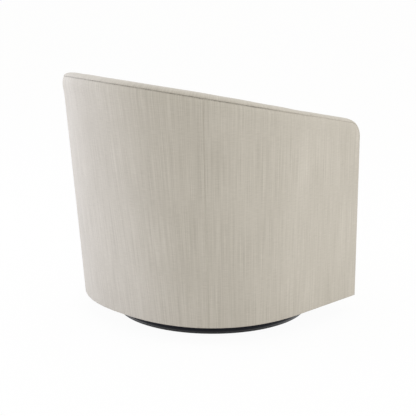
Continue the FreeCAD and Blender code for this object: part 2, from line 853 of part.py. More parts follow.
def all_nodes():
    nodes = {
        "floor_strip": floor_strip(),
        "base_ring": base_ring(),
        "ring_joint_sleeve": ring_joint_sleeve(),
        "cross_bars": cross_bars(),
        "lower_swivel_plate": lower_swivel_plate(),
        "base_bolts": base_bolts(),
        "base_nuts": base_nuts(),
        "lower_bearing_race": race(plate_low + plate_thickness, ball_height - race_gap / 2),
        "pin_bush": pin_bush(),
        "pin_washer": pin_washer(),
        "ball_cage": ball_cage(),
        "bearing_balls": bearing_balls(),
        "upper_bearing_race": race(ball_height + race_gap / 2, plate_high - plate_thickness),
        "upper_swivel_plate": upper_swivel_plate(),
        "swivel_pin": swivel_pin(),
        "pin_clip": pin_clip(),
        "swivel_mount_board": swivel_mount_board(),
        "swivel_bolts": swivel_bolts(),
        "tee_nuts": tee_nuts(),
        "bottom_board": bottom_board(),
        "front_rail": front_rail(),
        "corner_blocks": corner_blocks(),
        "seat_webbing": seat_webbing(),
        "back_webbing": back_webbing(),
        "apron_pad": apron_pad(),
        "apron_cover": apron_cover(),
        "deck_pad": deck_pad(),
        "deck_cover": deck_cover(),
        "dust_cover": dust_cover(),
    }
    screws = rail_screws()
    posts = frame_posts()
    nodes["frame_screws"] = screws
    nodes["arm_front_board_left"] = arm_front_board(1)
    nodes["arm_front_board_right"] = arm_front_board(-1)
    uprights = list(posts.values()) + [arm_front_board(1), arm_front_board(-1)]
    nodes["seat_frame"] = seat_frame().cut(group(uprights))
    nodes.update({name: post.cut(screws) for name, post in posts.items()})
    nodes.update({name: rail.cut(screws) for name, rail in top_rails().items()})
    nodes.update(outside_panels())
    nodes.update(outside_covers())
    nodes.update(inside_foam())
    nodes.update(inside_covers())
    nodes.update(top_band())
    nodes.update(seat_cushion())
    return nodes


def main():
    os.makedirs("parts", exist_ok=True)
    for name, shape in all_nodes().items():
        shape.exportStep("parts/" + name + ".step")
        print(name, len(shape.Solids), "solids,", round(shape.Volume / 1000, 1), "cm3", shape.isValid())


main()
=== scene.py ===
# %% [markdown]
# # An upholstered swivel barrel chair
# The hard parts of the chair, its boards, bearing and tube ring, come ready from the construction model.
# This lesson dresses them: it sews the covers from grids of points, pads the seat cushion with a cloth
# simulation, and gives each surface a finish made from nodes. Everything is in metres, with the origin on
# the floor under the swivel.

# %% Load the construction model
import json
import math
import random

import bpy
import numpy as np
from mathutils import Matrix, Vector
from mathutils.kdtree import KDTree


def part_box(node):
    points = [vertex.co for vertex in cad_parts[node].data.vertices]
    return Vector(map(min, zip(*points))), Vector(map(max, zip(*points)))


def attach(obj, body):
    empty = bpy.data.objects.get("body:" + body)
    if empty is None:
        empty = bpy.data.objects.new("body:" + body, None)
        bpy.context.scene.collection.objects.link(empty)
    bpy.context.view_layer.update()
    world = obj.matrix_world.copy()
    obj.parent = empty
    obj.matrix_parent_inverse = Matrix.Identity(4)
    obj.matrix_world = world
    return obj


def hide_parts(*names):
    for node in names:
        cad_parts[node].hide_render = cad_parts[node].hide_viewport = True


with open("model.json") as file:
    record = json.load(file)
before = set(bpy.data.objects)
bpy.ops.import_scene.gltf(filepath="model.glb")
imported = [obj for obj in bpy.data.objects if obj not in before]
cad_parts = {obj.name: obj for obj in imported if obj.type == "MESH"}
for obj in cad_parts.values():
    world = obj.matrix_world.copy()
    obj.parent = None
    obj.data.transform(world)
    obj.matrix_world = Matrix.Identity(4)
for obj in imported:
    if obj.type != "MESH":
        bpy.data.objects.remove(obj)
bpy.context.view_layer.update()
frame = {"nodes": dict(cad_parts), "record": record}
bpy.context.scene.view_settings.view_transform = "Standard"

# %% [markdown]
# ## The camera
# The chair is seen from behind, over its right arm, from a little above the top edge. A long lens keeps the
# upright lines of the barrel nearly parallel, as a studio photographer would have it.

# %% Place the camera
camera_data = bpy.data.cameras.new("camera")
camera_data.lens = 114.15          # millimetres, for a sensor 36 mm wide
camera_data.sensor_width = 36.0
camera = bpy.data.objects.new("camera", camera_data)
bpy.context.scene.collection.objects.link(camera)
camera.location = Vector((-2.64047, 2.71080, 1.25269))
looking = Vector((0.00558, 0.01240, 0.29422)) - camera.location
camera.rotation_euler = looking.to_track_quat("-Z", "Y").to_euler()
bpy.context.scene.camera = camera
print("camera", round(looking.length, 2), "m from the chair")

# %% [markdown]
# ## The studio
# A chair like this is photographed on white, with broad soft lamps on both sides and a weak one overhead,
# so that the side of the barrel that faces the camera is the darkest part. The floor shows white to the
# camera but still takes a soft shadow. More light on the floor could do that too, but it would wash out the
# fabric. So the floor's finish asks what kind of ray sees it, and is white only for the camera's rays and
# for reflections.

# %% A finish that shows white to the camera
def show_white_to_camera(nodes, links, plain, white, output, share):
    """Mixes a plain finish with pure white, which only the camera and shiny surfaces see."""
    path = nodes.new("ShaderNodeLightPath")
    seen = nodes.new("ShaderNodeMath")
    seen.operation = "MAXIMUM"
    links.new(path.outputs["Is Camera Ray"], seen.inputs[0])
    links.new(path.outputs["Is Glossy Ray"], seen.inputs[1])
    part = nodes.new("ShaderNodeMath")
    part.operation = "MULTIPLY"
    part.inputs[1].default_value = share
    links.new(seen.outputs[0], part.inputs[0])
    mix = nodes.new("ShaderNodeMixShader")
    links.new(part.outputs[0], mix.inputs[0])
    links.new(plain.outputs[0], mix.inputs[1])
    links.new(white.outputs[0], mix.inputs[2])
    links.new(mix.outputs[0], output.inputs["Surface"])


print("white finish ready for floor and surroundings")

# %% Floor and surroundings
floor_white, room_light, room_tint = 0.955, 0.81, (1.0, 0.98, 0.90)


def make_floor():
    """A wide pale floor. A little of its own grey is kept, which carries the chair's shadow."""
    size = 12.0
    mesh = bpy.data.meshes.new("floor")
    corners = [(-size, -size, 0), (size, -size, 0), (size, size, 0), (-size, size, 0)]
    mesh.from_pydata(corners, [], [(0, 1, 2, 3)])
    floor = bpy.data.objects.new("floor", mesh)
    bpy.context.scene.collection.objects.link(floor)
    material = bpy.data.materials.new("pale floor")
    material.use_nodes = True
    nodes, links = material.node_tree.nodes, material.node_tree.links
    nodes.clear()
    plain = nodes.new("ShaderNodeBsdfDiffuse")
    plain.inputs["Color"].default_value = (0.88, 0.88, 0.88, 1)
    white = nodes.new("ShaderNodeEmission")
    output = nodes.new("ShaderNodeOutputMaterial")
    show_white_to_camera(nodes, links, plain, white, output, floor_white)
    mesh.materials.append(material)
    return floor


def make_surroundings(ambient, tint):
    """Even light from all sides. The camera sees white instead."""
    world = bpy.data.worlds.new("studio")
    bpy.context.scene.world = world
    world.use_nodes = True
    nodes, links = world.node_tree.nodes, world.node_tree.links
    nodes.clear()
    plain = nodes.new("ShaderNodeBackground")
    plain.inputs["Strength"].default_value = ambient
    plain.inputs["Color"].default_value = (*tint, 1)
    white = nodes.new("ShaderNodeBackground")
    white.inputs["Color"].default_value = (1, 1, 1, 1)
    output = nodes.new("ShaderNodeOutputWorld")
    show_white_to_camera(nodes, links, plain, white, output, 1.0)


floor = make_floor()
make_surroundings(room_light, room_tint)
print("floor", round(floor.dimensions.x), "m wide")


# %% Three soft lamps
def soft_lamp(name, place, size, power, tint=(1, 1, 1)):
    """A square area lamp that points at the middle of the chair."""
    lamp = bpy.data.lights.new(name, "AREA")
    lamp.size = size
    lamp.energy = power
    lamp.color = tint
    holder = bpy.data.objects.new(name, lamp)
    bpy.context.scene.collection.objects.link(holder)
    holder.location = place
    towards_chair = Vector((0, 0, 0.4)) - holder.location
    holder.rotation_euler = towards_chair.to_track_quat("-Z", "Y").to_euler()


daylight, cool_daylight = (0.93, 0.98, 1.12), (0.93, 0.98, 1.20)
soft_lamp("lamp beside the back", (3.0, 2.4, 1.5), 1.8, 65, cool_daylight)
soft_lamp("lamp beside the arm", (-2.8, -2.4, 1.3), 1.6, 35)
soft_lamp("lamp overhead", (0.3, 0.2, 3.0), 2.2, 12, daylight)

# %% [markdown]
# ## A few helpers for finishes
# Each finish is a Principled shader with some texture nodes in front of it. Values that are the same all
# over are set on the shader itself. The helpers only save typing: the first class starts a material, makes
# nodes and links them. The second adds what every finish here needs: stretched noise, sums of textures, a
# ramp that turns a number into a colour, and a bump that turns it into relief.

# %% Start a material and add nodes to it
class PlainFinish:
    """A material with a Principled shader, and short ways to add nodes to it."""

    def __init__(self, name, roughness, metallic=0.0, **values):
        self.material = bpy.data.materials.new(name)
        self.material.use_nodes = True
        self.nodes = self.material.node_tree.nodes
        self.links = self.material.node_tree.links
        self.shader = self.nodes["Principled BSDF"]
        self.shader.inputs["Roughness"].default_value = roughness
        self.shader.inputs["Metallic"].default_value = metallic
        for key, value in values.items():
            self.socket(self.shader, key).default_value = value

    def socket(self, node, key):
        """The input whose name is the key, with spaces for underscores and any capitals."""
        return next(s for s in node.inputs if s.name.lower() == key.replace("_", " "))

    def add(self, kind, **inputs):
        """A new node of a kind, with its inputs linked or filled in."""
        node = self.nodes.new("ShaderNode" + kind)
        for key, value in inputs.items():
            self.feed(self.socket(node, key), value)
        return node

    def feed(self, socket, value):
        """Links another node's output to a socket, or sets a plain number or colour on it."""
        if isinstance(value, bpy.types.NodeSocket):
            self.links.new(value, socket)
        else:
            socket.default_value = value


print("a plain finish can", ", ".join(name for name in vars(PlainFinish) if not name.startswith("_")))


# %% Textures, colours and relief
class Finish(PlainFinish):
    """A finish that can put textures in front of its shader."""

    def scaled(self, place, scale):
        """A place stretched along its axes: larger numbers make a finer texture."""
        node = self.nodes.new("ShaderNodeVectorMath")
        node.operation = "MULTIPLY"
        self.feed(node.inputs[0], place)
        node.inputs[1].default_value = scale
        return node.outputs[0]

    def noise(self, place, scale, detail=2.0, roughness=0.5):
        node = self.add("TexNoise", vector=self.scaled(place, scale), scale=1.0, detail=detail,
                        roughness=roughness)
        return node.outputs["Fac"]

    def math(self, operation, first, second=0.0):
        node = self.nodes.new("ShaderNodeMath")
        node.operation = operation
        self.feed(node.inputs[0], first)
        self.feed(node.inputs[1], second)
        return node.outputs[0]

    def ramp(self, value, stops):
        """Colours along a ramp: stops are (position, (r, g, b))."""
        node = self.nodes.new("ShaderNodeValToRGB")
        self.links.new(value, node.inputs[0])
        while len(node.color_ramp.elements) < len(stops):
            node.color_ramp.elements.new(0.5)
        for element, (position, colour) in zip(node.color_ramp.elements, stops):
            element.position = position
            element.color = (*colour, 1)
        return node.outputs[0]

    def colour(self, value):
        self.links.new(value, self.shader.inputs["Base Color"])

    def bump(self, height, strength, distance):
        node = self.add("Bump", height=height, strength=strength, distance=distance)
        self.links.new(node.outputs[0], self.shader.inputs["Normal"])

    def cloth_place(self):
        """Where a point lies on the flat cloth, in metres: along the weft, along the warp. The third number is
        how much shade is painted into the colour: 1 in a seam and 0 away from it."""
        node = self.nodes.new("ShaderNodeAttribute")
        node.attribute_name = "cloth"
        return node.outputs["Vector"]

    def object_place(self):
        return self.nodes.new("ShaderNodeTexCoord").outputs["Object"]


print("a finish has", ", ".join(name for name in vars(Finish) if not name.startswith("_")))

# %% [markdown]
# ## The upholstery fabric
# The cover is a plain weave in a warm grey linen colour. Its upright threads differ a little in shade,
# which gives fine vertical streaks all over the barrel, and some cross threads are thicker and show as
# short pale dashes. The texture is laid along each panel's own warp and weft, which the sewing code stores
# on the mesh in metres, so a streak is as wide on an arm as on the seat. A picture of the cloth would be
# easier, but it would repeat and blur. Four stretched noises do it instead, two fine waves give the weave
# its relief, and shade is painted into the colour where the cloth dips into a seam.

# %% Upholstery fabric
def streaked_fabric(name, dark, middle, light, relief=1.0):
    """A plain weave with fine upright streaks, from the darkest to the lightest thread."""
    fabric = Finish(name, roughness=0.86, sheen_weight=0.22, sheen_roughness=0.45, specular_ior_level=0.25)
    place = fabric.cloth_place()
    threads = fabric.noise(place, (420, 5, 1), detail=3.0, roughness=0.6)
    streaks = fabric.noise(place, (220, 3, 1), detail=2.0)
    slubs = fabric.noise(place, (45, 480, 1), detail=2.0)
    clouds = fabric.noise(place, (9, 6, 1), detail=2.0)
    tone = fabric.math("MULTIPLY", threads, 0.50)
    tone = fabric.math("ADD", tone, fabric.math("MULTIPLY", streaks, 0.14))
    tone = fabric.math("ADD", tone, fabric.math("MULTIPLY", slubs, 0.22))
    tone = fabric.math("ADD", tone, fabric.math("MULTIPLY", clouds, 0.14))
    # painted shade: where the cloth dips into a seam, the tone is pulled down to a dark shade colour, well
    # below the darkest thread
    seam = fabric.add("SeparateXYZ", vector=place).outputs[2]
    tone = fabric.math("SUBTRACT", tone, fabric.math("MULTIPLY", seam, 0.3))
    painted_shade_colour = tuple(0.45 * part for part in dark)
    fabric.colour(fabric.ramp(tone, [(0.16, painted_shade_colour), (0.34, dark), (0.5, middle), (0.66, light)]))
    warp = fabric.add("TexWave", vector=fabric.scaled(place, (1, 0.02, 1)), scale=330.0, distortion=0.8)
    weft = fabric.add("TexWave", vector=fabric.scaled(place, (0.02, 1, 1)), scale=330.0, distortion=0.8)
    weft.bands_direction = "Y"
    weave = fabric.math("ADD", warp.outputs["Fac"], weft.outputs["Fac"])
    height = fabric.math("ADD", fabric.math("MULTIPLY", weave, 0.3), fabric.math("MULTIPLY", threads, 0.5))
    fabric.bump(height, 0.35 * relief, 0.0004)
    return fabric.material


upholstery = streaked_fabric("streaked linen fabric", (0.448, 0.418, 0.373), (0.541, 0.507, 0.458),
                             (0.634, 0.597, 0.545))
deck_fabric = streaked_fabric("plain decking cloth", (0.37, 0.34, 0.30), (0.43, 0.40, 0.355),
                              (0.49, 0.46, 0.41))
print("fabrics:", upholstery.name, "and", deck_fabric.name)

# %% [markdown]
# ## Metal, plastic and wood
# The ring is steel tube with a glossy blue-black coating, which is never quite smooth: a faint orange-peel
# relief breaks up its reflections. The swivel plates are zinc plated, the races and balls polished, the
# bush and cage moulded nylon. The boards are plywood, the panels fibreboard. Most of this is hidden, but it
# shows from below. One flat colour each would look like paint, so every finish gets a noise in its colour
# and a little relief.

# %% Coated, plated and polished metal
def coated_steel():
    steel = Finish("gloss black coated steel", roughness=0.2, specular_ior_level=0.1, coat_weight=0.1,
                   coat_roughness=0.05)
    place = steel.object_place()
    steel.colour(steel.ramp(steel.noise(place, (60, 60, 60), detail=4.0),
                            [(0.3, (0.004, 0.005, 0.010)), (0.7, (0.009, 0.010, 0.020))]))
    steel.bump(steel.noise(place, (260, 260, 260), detail=1.0), 0.12, 0.0004)
    return steel.material


def plated_steel(name, dark, light, roughness, grain):
    steel = Finish(name, roughness=roughness, metallic=1.0)
    place = steel.object_place()
    steel.colour(steel.ramp(steel.noise(place, (40, 40, 40), detail=5.0), [(0.3, dark), (0.7, light)]))
    steel.bump(steel.noise(place, grain, detail=2.0), 0.15, 0.0003)
    return steel.material


def moulded_plastic():
    plastic = Finish("black moulded nylon", roughness=0.42)
    place = plastic.object_place()
    plastic.colour(plastic.ramp(plastic.noise(place, (90, 90, 90)), [(0.3, (0.012, 0.012, 0.013)),
                                                                    (0.7, (0.022, 0.022, 0.024))]))
    plastic.bump(plastic.noise(place, (1500, 1500, 1500)), 0.2, 0.0002)
    return plastic.material


black_steel = coated_steel()
zinc_steel = plated_steel("zinc plated steel", (0.42, 0.43, 0.44), (0.62, 0.63, 0.65), 0.36, (700, 700, 700))
bearing_steel = plated_steel("polished bearing steel", (0.60, 0.60, 0.62), (0.72, 0.73, 0.75), 0.12,
                             (900, 900, 60))
black_plastic = moulded_plastic()
print("hard finishes:", black_steel.name, "and", zinc_steel.name)


# %% Boards, panels, foam and straps
def plywood_finish():
    wood = Finish("birch plywood", roughness=0.62)
    place = wood.object_place()
    grain = wood.noise(place, (14, 3, 240), detail=5.0, roughness=0.62)
    figure = wood.noise(place, (90, 6, 900), detail=3.0)
    tone = wood.math("ADD", wood.math("MULTIPLY", grain, 0.7), wood.math("MULTIPLY", figure, 0.3))
    wood.colour(wood.ramp(tone, [(0.32, (0.36, 0.24, 0.13)), (0.5, (0.56, 0.40, 0.23)),
                                 (0.68, (0.68, 0.52, 0.33))]))
    wood.bump(figure, 0.25, 0.0005)
    return wood.material


def pressed_finish(name, dark, light, size):
    board = Finish(name, roughness=0.8)
    place = board.object_place()
    specks = board.noise(place, (size, size, size), detail=4.0, roughness=0.7)
    board.colour(board.ramp(specks, [(0.35, dark), (0.65, light)]))
    board.bump(specks, 0.3, 0.0005)
    return board.material


def webbing_finish():
    strap = Finish("woven elastic webbing", roughness=0.78)
    place = strap.object_place()
    ribs = strap.add("TexWave", vector=place, scale=90.0, distortion=0.6)
    mottle = strap.noise(place, (300, 300, 300))
    tone = strap.math("ADD", strap.math("MULTIPLY", ribs.outputs["Fac"], 0.6),
                      strap.math("MULTIPLY", mottle, 0.4))
    strap.colour(strap.ramp(tone, [(0.3, (0.10, 0.065, 0.04)), (0.7, (0.24, 0.17, 0.11))]))
    strap.bump(ribs.outputs["Fac"], 0.4, 0.0006)
    return strap.material


def dust_cloth_finish():
    cloth = Finish("black dust cloth", roughness=0.92, sheen_weight=0.1)
    place = cloth.object_place()
    fibres = cloth.noise(place, (700, 700, 50), detail=4.0, roughness=0.7)
    cloth.colour(cloth.ramp(fibres, [(0.3, (0.010, 0.010, 0.011)), (0.7, (0.030, 0.030, 0.032))]))
    cloth.bump(fibres, 0.3, 0.0004)
    return cloth.material


plywood = plywood_finish()
fibreboard = pressed_finish("bent fibreboard", (0.22, 0.15, 0.09), (0.36, 0.27, 0.17), 220)
foam = pressed_finish("upholstery foam", (0.66, 0.62, 0.48), (0.80, 0.77, 0.64), 420)
webbing = webbing_finish()
dust_cloth = dust_cloth_finish()
print("frame finishes:", plywood.name, "and", fibreboard.name)

# %% [markdown]
# ## Finish the parts that stay
# The record gives each part of the construction model a material slot. Going through the slots paints every
# hard part with its own finish, and none can be forgotten.

# %% Paint the construction model
FINISHES = {
    "upholstery_fabric": upholstery,
    "deck_cloth": deck_fabric,
    "dust_cloth": dust_cloth,
    "webbing": webbing,
    "foam": foam,
    "plywood": plywood,
    "fibreboard": fibreboard,
    "black_steel": black_steel,
    "zinc_steel": zinc_steel,
    "bearing_steel": bearing_steel,
    "black_plastic": black_plastic,
}
for part in frame["record"]["subparts"]:
    node = frame["nodes"][part["node"]]
    node.data.materials.clear()
    node.data.materials.append(FINISHES[part["material_slot"]])

# %% [markdown]
# ## The form of the barrel
# All covers lie on one raked form. Seen from above it is a softly squared half oval with two straight arms,
# a little fuller at the floor than at the top. The back leans out as it rises. A sloping plane cuts the
# top, bends over each arm corner in an arc and runs down the arm front. These few functions say where a
# point of that form is.

# %% Plan and lean of the form
shell_bottom, form_top = 0.052, 0.760   # heights of the plan's lower and upper curve
cover_bottom = 0.0504                   # lower edge of the outside covers
back_height = 0.723                     # top seam at the middle of the back
curve_start = 0.007                     # Y at which the straight arms end and the round back begins
wall = 0.075                            # thickness of the arms, and of the back at its top
lumbar = 0.142                          # thickness of the back at its foot
arm_reach = 0.233                       # from the swivel axis to the arm fronts
corner_radius = 0.050                   # rounding of the arm corners, seen from the side
low_fullness, high_fullness = 2.34, 2.06   # squareness of the lower and upper plan: 2 is an ellipse


def lean(degrees):
    """How far a surface moves sideways for each metre of height."""
    return math.tan(math.radians(degrees))


def half_at(z):
    """Half the chair's width over the arms at a height."""
    return 0.358 + (z - shell_bottom) * lean(1.1)


def reach_at(z):
    """How far the outside back stands behind the swivel axis at a height."""
    return 0.361 + (z - shell_bottom) * lean(8.4)


def plan_place(z, angle, side, back, fullness):
    """Points of the round back at one height. Angle 0 is at the sitter's left arm, pi at the right one."""
    power = 2 / fullness
    across = np.sign(np.cos(angle)) * np.abs(np.cos(angle)) ** power
    along = np.abs(np.sin(angle)) ** power
    return np.stack([(half_at(z) - side) * across,
                     curve_start + (reach_at(z) - back - curve_start) * along,
                     np.full_like(across, z)], axis=-1)


def form_place(angle, z, side=0.0, back_low=None, back_high=None):
    """Points on the form, or on one inset from it, at angles and heights given as arrays."""
    angle, z = np.broadcast_arrays(np.asarray(angle, float), np.asarray(z, float))
    low = plan_place(shell_bottom, angle, side, side if back_low is None else back_low, low_fullness)
    high = plan_place(form_top, angle, side, side if back_high is None else back_high, high_fullness)
    share = ((z - shell_bottom) / (form_top - shell_bottom))[..., None]
    return low + (high - low) * share


print("width over the arms at the floor edge:", round(2 * half_at(shell_bottom), 3), "m")

# %% Side profile: sloping top, rounded corner and arm front
slope, front_lean = math.radians(13.1), math.radians(1.0)
top_normal = np.array([0, -math.sin(slope), math.cos(slope)])
front_normal = np.array([0, -math.cos(front_lean), math.sin(front_lean)])
top_run = np.array([0, math.cos(slope), math.sin(slope)])
front_run = np.array([0, math.sin(front_lean), math.cos(front_lean)])
back_seam = np.array([0, reach_at(back_height), back_height])
level = back_seam @ top_normal
edge = np.array([0, -arm_reach, shell_bottom]) @ front_normal
corner = np.linalg.solve(np.array([top_normal[1:], front_normal[1:]]),
                         np.array([level - corner_radius, edge - corner_radius]))
corner = np.array([0, corner[0], corner[1]])
turn = math.pi / 2 - slope - front_lean


def corner_normal(angle):
    """Direction out of the arm corner's arc: 0 faces forward, the full turn faces up."""
    normal = (front_normal * math.sin(turn - angle) + top_normal * math.sin(angle)) / math.sin(turn)
    return normal / np.linalg.norm(normal)


def seam_height(angle, inset, back_low=None, back_high=None):
    """Height at which the sloping plane cuts the upright line of the form at an angle."""
    low = form_place(angle, shell_bottom, inset, back_low, back_high)
    high = form_place(angle, form_top, inset, back_low, back_high)
    share = (level - low @ top_normal) / ((high - low) @ top_normal)
    return shell_bottom + (form_top - shell_bottom) * share


print("arm corner at", corner.round(4), "turning through", round(math.degrees(turn), 1), "degrees")

# %% [markdown]
# ## Sewing a panel
# An upholstered panel is a flat piece of cloth stretched over the form, with its edges rolled under at the
# seams. It could be cut from a solid, but a grid of points gives full control: each column is an upright
# thread. The helper below takes such a grid, rolls its edges down over a small radius, adds any unevenness,
# closes it behind with a second layer, and stores the position on the flat cloth for the fabric texture.

# %% Places along a thread
def graded(length, step, fine):
    """Places from 0 to 1 along a length: close together at both ends, where the edge rolls under."""
    ends = [0, 0.12 * fine, 0.4 * fine, 0.8 * fine, 1.4 * fine, 2.4 * fine]
    count = max(2, int(round((length - 2 * ends[-1]) / step)))
    middle = np.linspace(ends[-1], length - ends[-1], count + 1)[1:-1]
    places = np.concatenate([ends, middle, length - np.array(ends[::-1])])
    return places / length


def lengths_along(points):
    """Distance along a row of points, starting at 0."""
    steps = np.linalg.norm(np.diff(points, axis=0), axis=1)
    return np.concatenate([[0], np.cumsum(steps)])


def points_at(row, along, distances):
    """Points of a row at given distances, where along holds the distance of each of its own points."""
    return np.stack([np.interp(distances, along, row[:, axis]) for axis in range(row.shape[1])], axis=-1)


def respaced(grid, places):
    """The grid's columns taken at new places, 0 to 1, measured along its middle row."""
    along = lengths_along(grid[:, grid.shape[1] // 2])
    along = along / along[-1]
    columns = [[np.interp(places, along, grid[:, row, axis]) for axis in range(3)]
               for row in range(grid.shape[1])]
    return np.array(columns).transpose(2, 0, 1)


print("places along 100 mm of thread:", graded(0.1, 0.02, 0.0045).round(3))


# %% Which way a surface faces, and how near an edge is
def grid_normals(grid, outwards):
    """Directions straight out of the surface, one for each point of the grid."""
    across, up = np.gradient(grid, axis=0), np.gradient(grid, axis=1)
    normals = np.cross(across, up)
    normals /= np.linalg.norm(normals, axis=-1, keepdims=True) + 1e-12
    return normals * outwards


def edge_distance(grid, sides):
    """Distance of each point from the nearest point of the named edges."""
    rims = {"start": grid[0], "end": grid[-1], "bottom": grid[:, 0], "top": grid[:, -1]}
    samples = []
    for side in sides:
        rim = rims[side]
        along = lengths_along(rim)
        places = np.linspace(0, along[-1], max(2, int(along[-1] / 0.0005)))
        samples.append(points_at(rim, along, places))
    samples = np.concatenate(samples)
    tree = KDTree(len(samples))
    for i, sample in enumerate(samples):
        tree.insert(sample, i)
    tree.balance()
    flat = grid.reshape(-1, 3)
    return np.array([tree.find(point)[2] for point in flat]).reshape(grid.shape[:2])


level_patch = np.stack(np.meshgrid([0, 0.1, 0.2], [0, 0.1, 0.2], [0.0], indexing="ij"), axis=-1)[:, :, 0]
print("a level patch faces", grid_normals(level_patch, 1)[1, 1])


# %% A new piece from points and faces
def new_piece(name, points, faces, material, cloth=None):
    """A smooth mesh object with one finish. Cloth holds each point's place on the flat fabric."""
    mesh = bpy.data.meshes.new(name)
    mesh.from_pydata([tuple(p) for p in points], [], faces)
    mesh.validate()
    if cloth is not None:
        attribute = mesh.attributes.new("cloth", "FLOAT_VECTOR", "POINT")
        attribute.data.foreach_set("vector", np.asarray(cloth, np.float32).ravel())
    mesh.materials.append(material)
    mesh.shade_smooth()
    piece = bpy.data.objects.new(name, mesh)
    bpy.context.scene.collection.objects.link(piece)
    return piece


print("ready to make pieces beside the", len(frame["nodes"]), "parts that came with the frame")


# %% Rolled edges and the shade painted in a seam
def roll(distance, radius, depth):
    """How far the surface has dropped at a distance from a rolled edge."""
    near = np.clip(1 - distance / radius, 0, 1)
    return depth * (1 - np.sqrt(1 - near ** 2))


# how far from a seam the shade painted into the cloth's colour reaches
painted_shade_width = 0.0022


def painted_shade_in_seam(distance):
    """1 in a seam and 0 a few millimetres away from it: how much shade is painted into the cloth's colour
    there.
    """
    return np.exp(-(distance / painted_shade_width) ** 2)


def painted_shade_along_top(y):
    """How much shade is painted into the top seam: full round the back, where the seam is drawn in tightest,
    and hardly any on the arms.
    """
    return np.clip((y + 0.06) / 0.24, 0, 1)


SEAM, HEM = (0.0045, 0.0012), (0.002, 0.0010)   # how wide the cloth rolls under, and how deep
print("a seam is", 1000 * roll(0, *SEAM), "mm deep and fades over", 1000 * SEAM[0], "mm")


# %% A sewn panel
def panel_faces(columns, rows, outwards):
    """Faces of two layers of the same grid, with a rim between them."""
    count = columns * rows
    faces = []

    def corner_at(column, row, layer):
        return layer * count + column * rows + row

    for column in range(columns - 1):
        for row in range(rows - 1):
            ring = [corner_at(column, row, 0), corner_at(column + 1, row, 0),
                    corner_at(column + 1, row + 1, 0), corner_at(column, row + 1, 0)]
            faces.append(ring if outwards > 0 else ring[::-1])
            behind = [i + count for i in ring]
            faces.append(behind[::-1] if outwards > 0 else behind)
    border = [(c, 0) for c in range(columns)] + [(columns - 1, r) for r in range(1, rows)]
    border += [(c, rows - 1) for c in range(columns - 2, -1, -1)] + [(0, r) for r in range(rows - 2, 0, -1)]
    for first, second in zip(border, border[1:] + border[:1]):
        ring = [corner_at(*first, 0), corner_at(*first, 1), corner_at(*second, 1), corner_at(*second, 0)]
        faces.append(ring if outwards > 0 else ring[::-1])
    return faces


def sewn_panel(name, grid, outwards, material, top=SEAM, sides=SEAM, foot=HEM, thickness=0.0024,
               cloth_from=0.0, relief=None, backing=None):
    """A closed panel from a grid of columns. Top, sides and foot are the (radius, depth) of the rolled edges.
    Outwards is 1 or -1, whichever turns its normals to the room. Cloth_from says where on the roll of fabric
    the panel is cut, so that no two panels show the same threads."""
    normals = grid_normals(grid, outwards)
    to_top, to_sides = edge_distance(grid, ("top",)), edge_distance(grid, ("start", "end"))
    to_foot = edge_distance(grid, ("bottom",))
    rim = np.minimum(np.minimum(to_top, to_sides), to_foot)
    drop = np.maximum(np.maximum(roll(to_top, *top), roll(to_sides, *sides)), roll(to_foot, *foot))
    lift = relief(grid, rim, to_top) if relief is not None else np.zeros(grid.shape[:2])
    face = grid + normals * (lift - drop)[..., None]
    depth = np.full(grid.shape[:2], thickness) if backing is None else backing(rim)
    back = grid - normals * np.maximum(depth, drop - lift + 0.0003)[..., None]
    columns, rows = grid.shape[:2]
    middle = grid[:, rows // 2]
    weft = lengths_along(middle)[:, None] + cloth_from + np.zeros((columns, rows))
    warp = grid[..., 2] + 0.35 * cloth_from
    # the third number is the shade painted into the colour along the top seam
    cloth = np.stack([weft, warp, painted_shade_in_seam(to_top) * painted_shade_along_top(grid[..., 1])], axis=-1).reshape(-1, 3)
    points = np.concatenate([face.reshape(-1, 3), back.reshape(-1, 3)])
    piece = new_piece(name, points, panel_faces(columns, rows, outwards), material,
                      np.concatenate([cloth, cloth]))
    print(name, columns, "x", rows, "threads of mesh")
    return piece


# %% [markdown]
# ## Unevenness
# Cloth over padding is never perfectly even. Where the needle draws a seam tight the cloth puckers into
# small upright gathers that fade within two or three centimetres, and the large surfaces have very shallow
# hollows. A brush in sculpt mode could draw them, but not the same way twice. Here both are sums of a few
# waves with fixed random phases, so each run gives the same chair.

# %% Helpers for unevenness
def wavy(seed, count, shortest, longest):
    """A smooth uneven function of distance, between about -1 and 1, the same on each run."""
    dice = random.Random(seed)
    waves = [(dice.uniform(shortest, longest), dice.uniform(0, 2 * math.pi), dice.uniform(0.4, 1))
             for _ in range(count)]
    total = sum(size for _, _, size in waves)

    def value(distance):
        return sum(size * np.sin(2 * math.pi * distance / length + phase)
                   for length, phase, size in waves) / total * 1.6

    return value


gathers = wavy(11, 9, 0.011, 0.034)
gather_places = wavy(12, 4, 0.09, 0.30)
hollows_across = wavy(13, 5, 0.12, 0.40)
hollows_up = wavy(14, 5, 0.15, 0.45)


def seam_gathers(top_distance, along, amount, reach):
    """Puckers below a seam: strongest at the seam, in some places more than in others."""
    strength = np.clip(0.45 + 0.75 * gather_places(along), 0.08, 1.2)
    return amount * strength * gathers(along + 0.04 * top_distance) * np.exp(-top_distance / reach)


def shallow_hollows(along, up, amount):
    """Hollows and swellings as large as a hand, all over a panel."""
    return amount * hollows_across(along + 0.35 * up) * hollows_up(up)


def soft_shoulder(top_distance, pulled, swollen):
    """Cloth drawn in at the top seam, over wadding that swells out a little below it."""
    return (swollen * np.exp(-((top_distance - 0.025) / 0.014) ** 2)
            - pulled * np.exp(-(top_distance / 0.007) ** 2))


def fullness_along(y):
    """The shoulder is full round the back and fades towards the arm fronts."""
    return 0.35 + 0.65 * np.clip((y + 0.18) / 0.30, 0, 1)


print("gathers over the first 30 mm:", gathers(np.linspace(0, 0.03, 4)).round(2))

# %% [markdown]
# ## Outside covers
# Three panels wrap the outside: a back panel, and one for each arm from the back seam to the arm front. The
# seams between them run nearly upright. On an arm, each upright thread starts at the hem and ends on the
# sloping top seam, and towards the front the top seam bends down round the corner, so the last threads get
# shorter.

